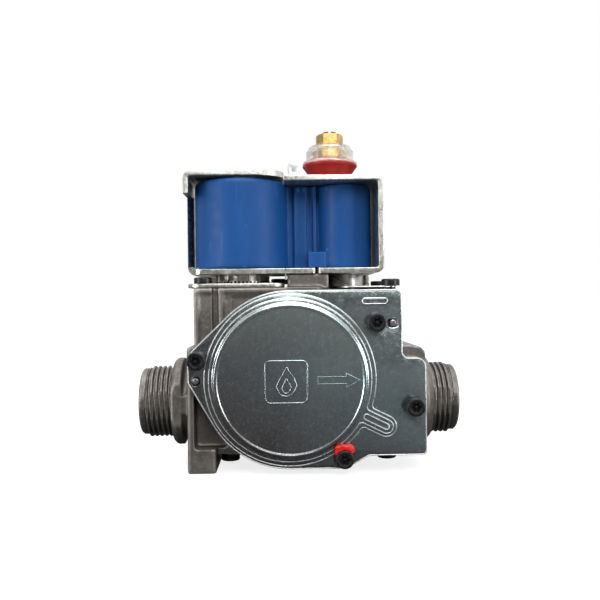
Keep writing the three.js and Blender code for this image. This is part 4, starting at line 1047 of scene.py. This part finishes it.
def studio():
    """White to the eye; what the metal mirrors is bright above and behind, and darker in front and below."""
    w = bpy.data.worlds.new("studio")
    scene.world = w
    w.use_nodes = True
    new, link = w.node_tree.nodes.new, w.node_tree.links.new
    out, plain = w.node_tree.nodes["World Output"], w.node_tree.nodes["Background"]
    plain.inputs["Color"].default_value = (1, 1, 1, 1)
    plain.inputs["Strength"].default_value = 1.0
    soft = new("ShaderNodeBackground")
    coord = new("ShaderNodeTexCoord").outputs["Generated"]
    strength = None
    for direction, lo, hi, start, end in STUDIO_FALL:
        dot = new("ShaderNodeVectorMath")
        dot.operation = "DOT_PRODUCT"
        dot.inputs[1].default_value = direction
        span = new("ShaderNodeMapRange")
        span.interpolation_type = "SMOOTHSTEP"
        for key, value in (("From Min", start), ("From Max", end), ("To Min", lo), ("To Max", hi)):
            span.inputs[key].default_value = value
        link(coord, dot.inputs[0])
        link(dot.outputs["Value"], span.inputs["Value"])
        if strength is None:
            strength = span.outputs["Result"]
            continue
        both = new("ShaderNodeMath")
        both.operation = "MULTIPLY"
        link(strength, both.inputs[0])
        link(span.outputs["Result"], both.inputs[1])
        strength = both.outputs[0]
    link(strength, soft.inputs["Strength"])
    mix = new("ShaderNodeMixShader")
    link(new("ShaderNodeLightPath").outputs["Is Camera Ray"], mix.inputs["Fac"])
    link(soft.outputs["Background"], mix.inputs[1])
    link(plain.outputs["Background"], mix.inputs[2])
    link(mix.outputs["Shader"], out.inputs["Surface"])


studio()

FLOOR_GLOW = 0.8  # keeps the pale floor even to the eye, without lighting the object from below
floor = bpy.data.meshes.new("floor")
floor.from_pydata([(-6, -6, 0), (6, -6, 0), (6, 6, 0), (-6, 6, 0)], [], [(0, 1, 2, 3)])
floor_obj = bpy.data.objects.new("floor", floor)
scene.collection.objects.link(floor_obj)
fm = Nodes("floor_paint", (0.3, 0.3, 0.3), 0.8, 0.0)
seen = fm.add("ShaderNodeLightPath").outputs["Is Camera Ray"]
fm.color(fm.mix(seen, (0.04, 0.04, 0.04), fm.ramp(fm.noise(3, 2), [(0.3, grey(0.29)), (0.7, grey(0.31))])))
fm.bsdf.inputs["Emission Color"].default_value = (1, 1, 1, 1)
fm.link(fm.span(seen, 0.0, FLOOR_GLOW, 0.0, 1.0), fm.bsdf.inputs["Emission Strength"])
floor_obj.data.materials.append(fm.mat)

LIT = Vector((0, -0.02, 0.06))  # what every light points at
for name, at, size, power in (
    ("key", (0.1, -0.65, 0.5), (0.5, 0.4), 4.0), ("left_strip", (-0.6, -0.25, 0.3), (0.15, 0.8), 0.7),
    ("left_low", (-0.4, -0.28, 0.05), (0.14, 0.3), 1.3), ("right_low", (0.4, -0.28, 0.05), (0.14, 0.3), 1.3),
    ("top", (0.0, 0.0, 0.9), (0.9, 0.5), 4),
):
    light = bpy.data.lights.new(name, "AREA")
    light.shape = "RECTANGLE"
    light.size, light.size_y = size
    light.energy = power
    o = bpy.data.objects.new(name, light)
    scene.collection.objects.link(o)
    o.location = at
    o.rotation_mode = "QUATERNION"
    o.rotation_quaternion = (Vector(at) - LIT).to_track_quat("Z", "Y")
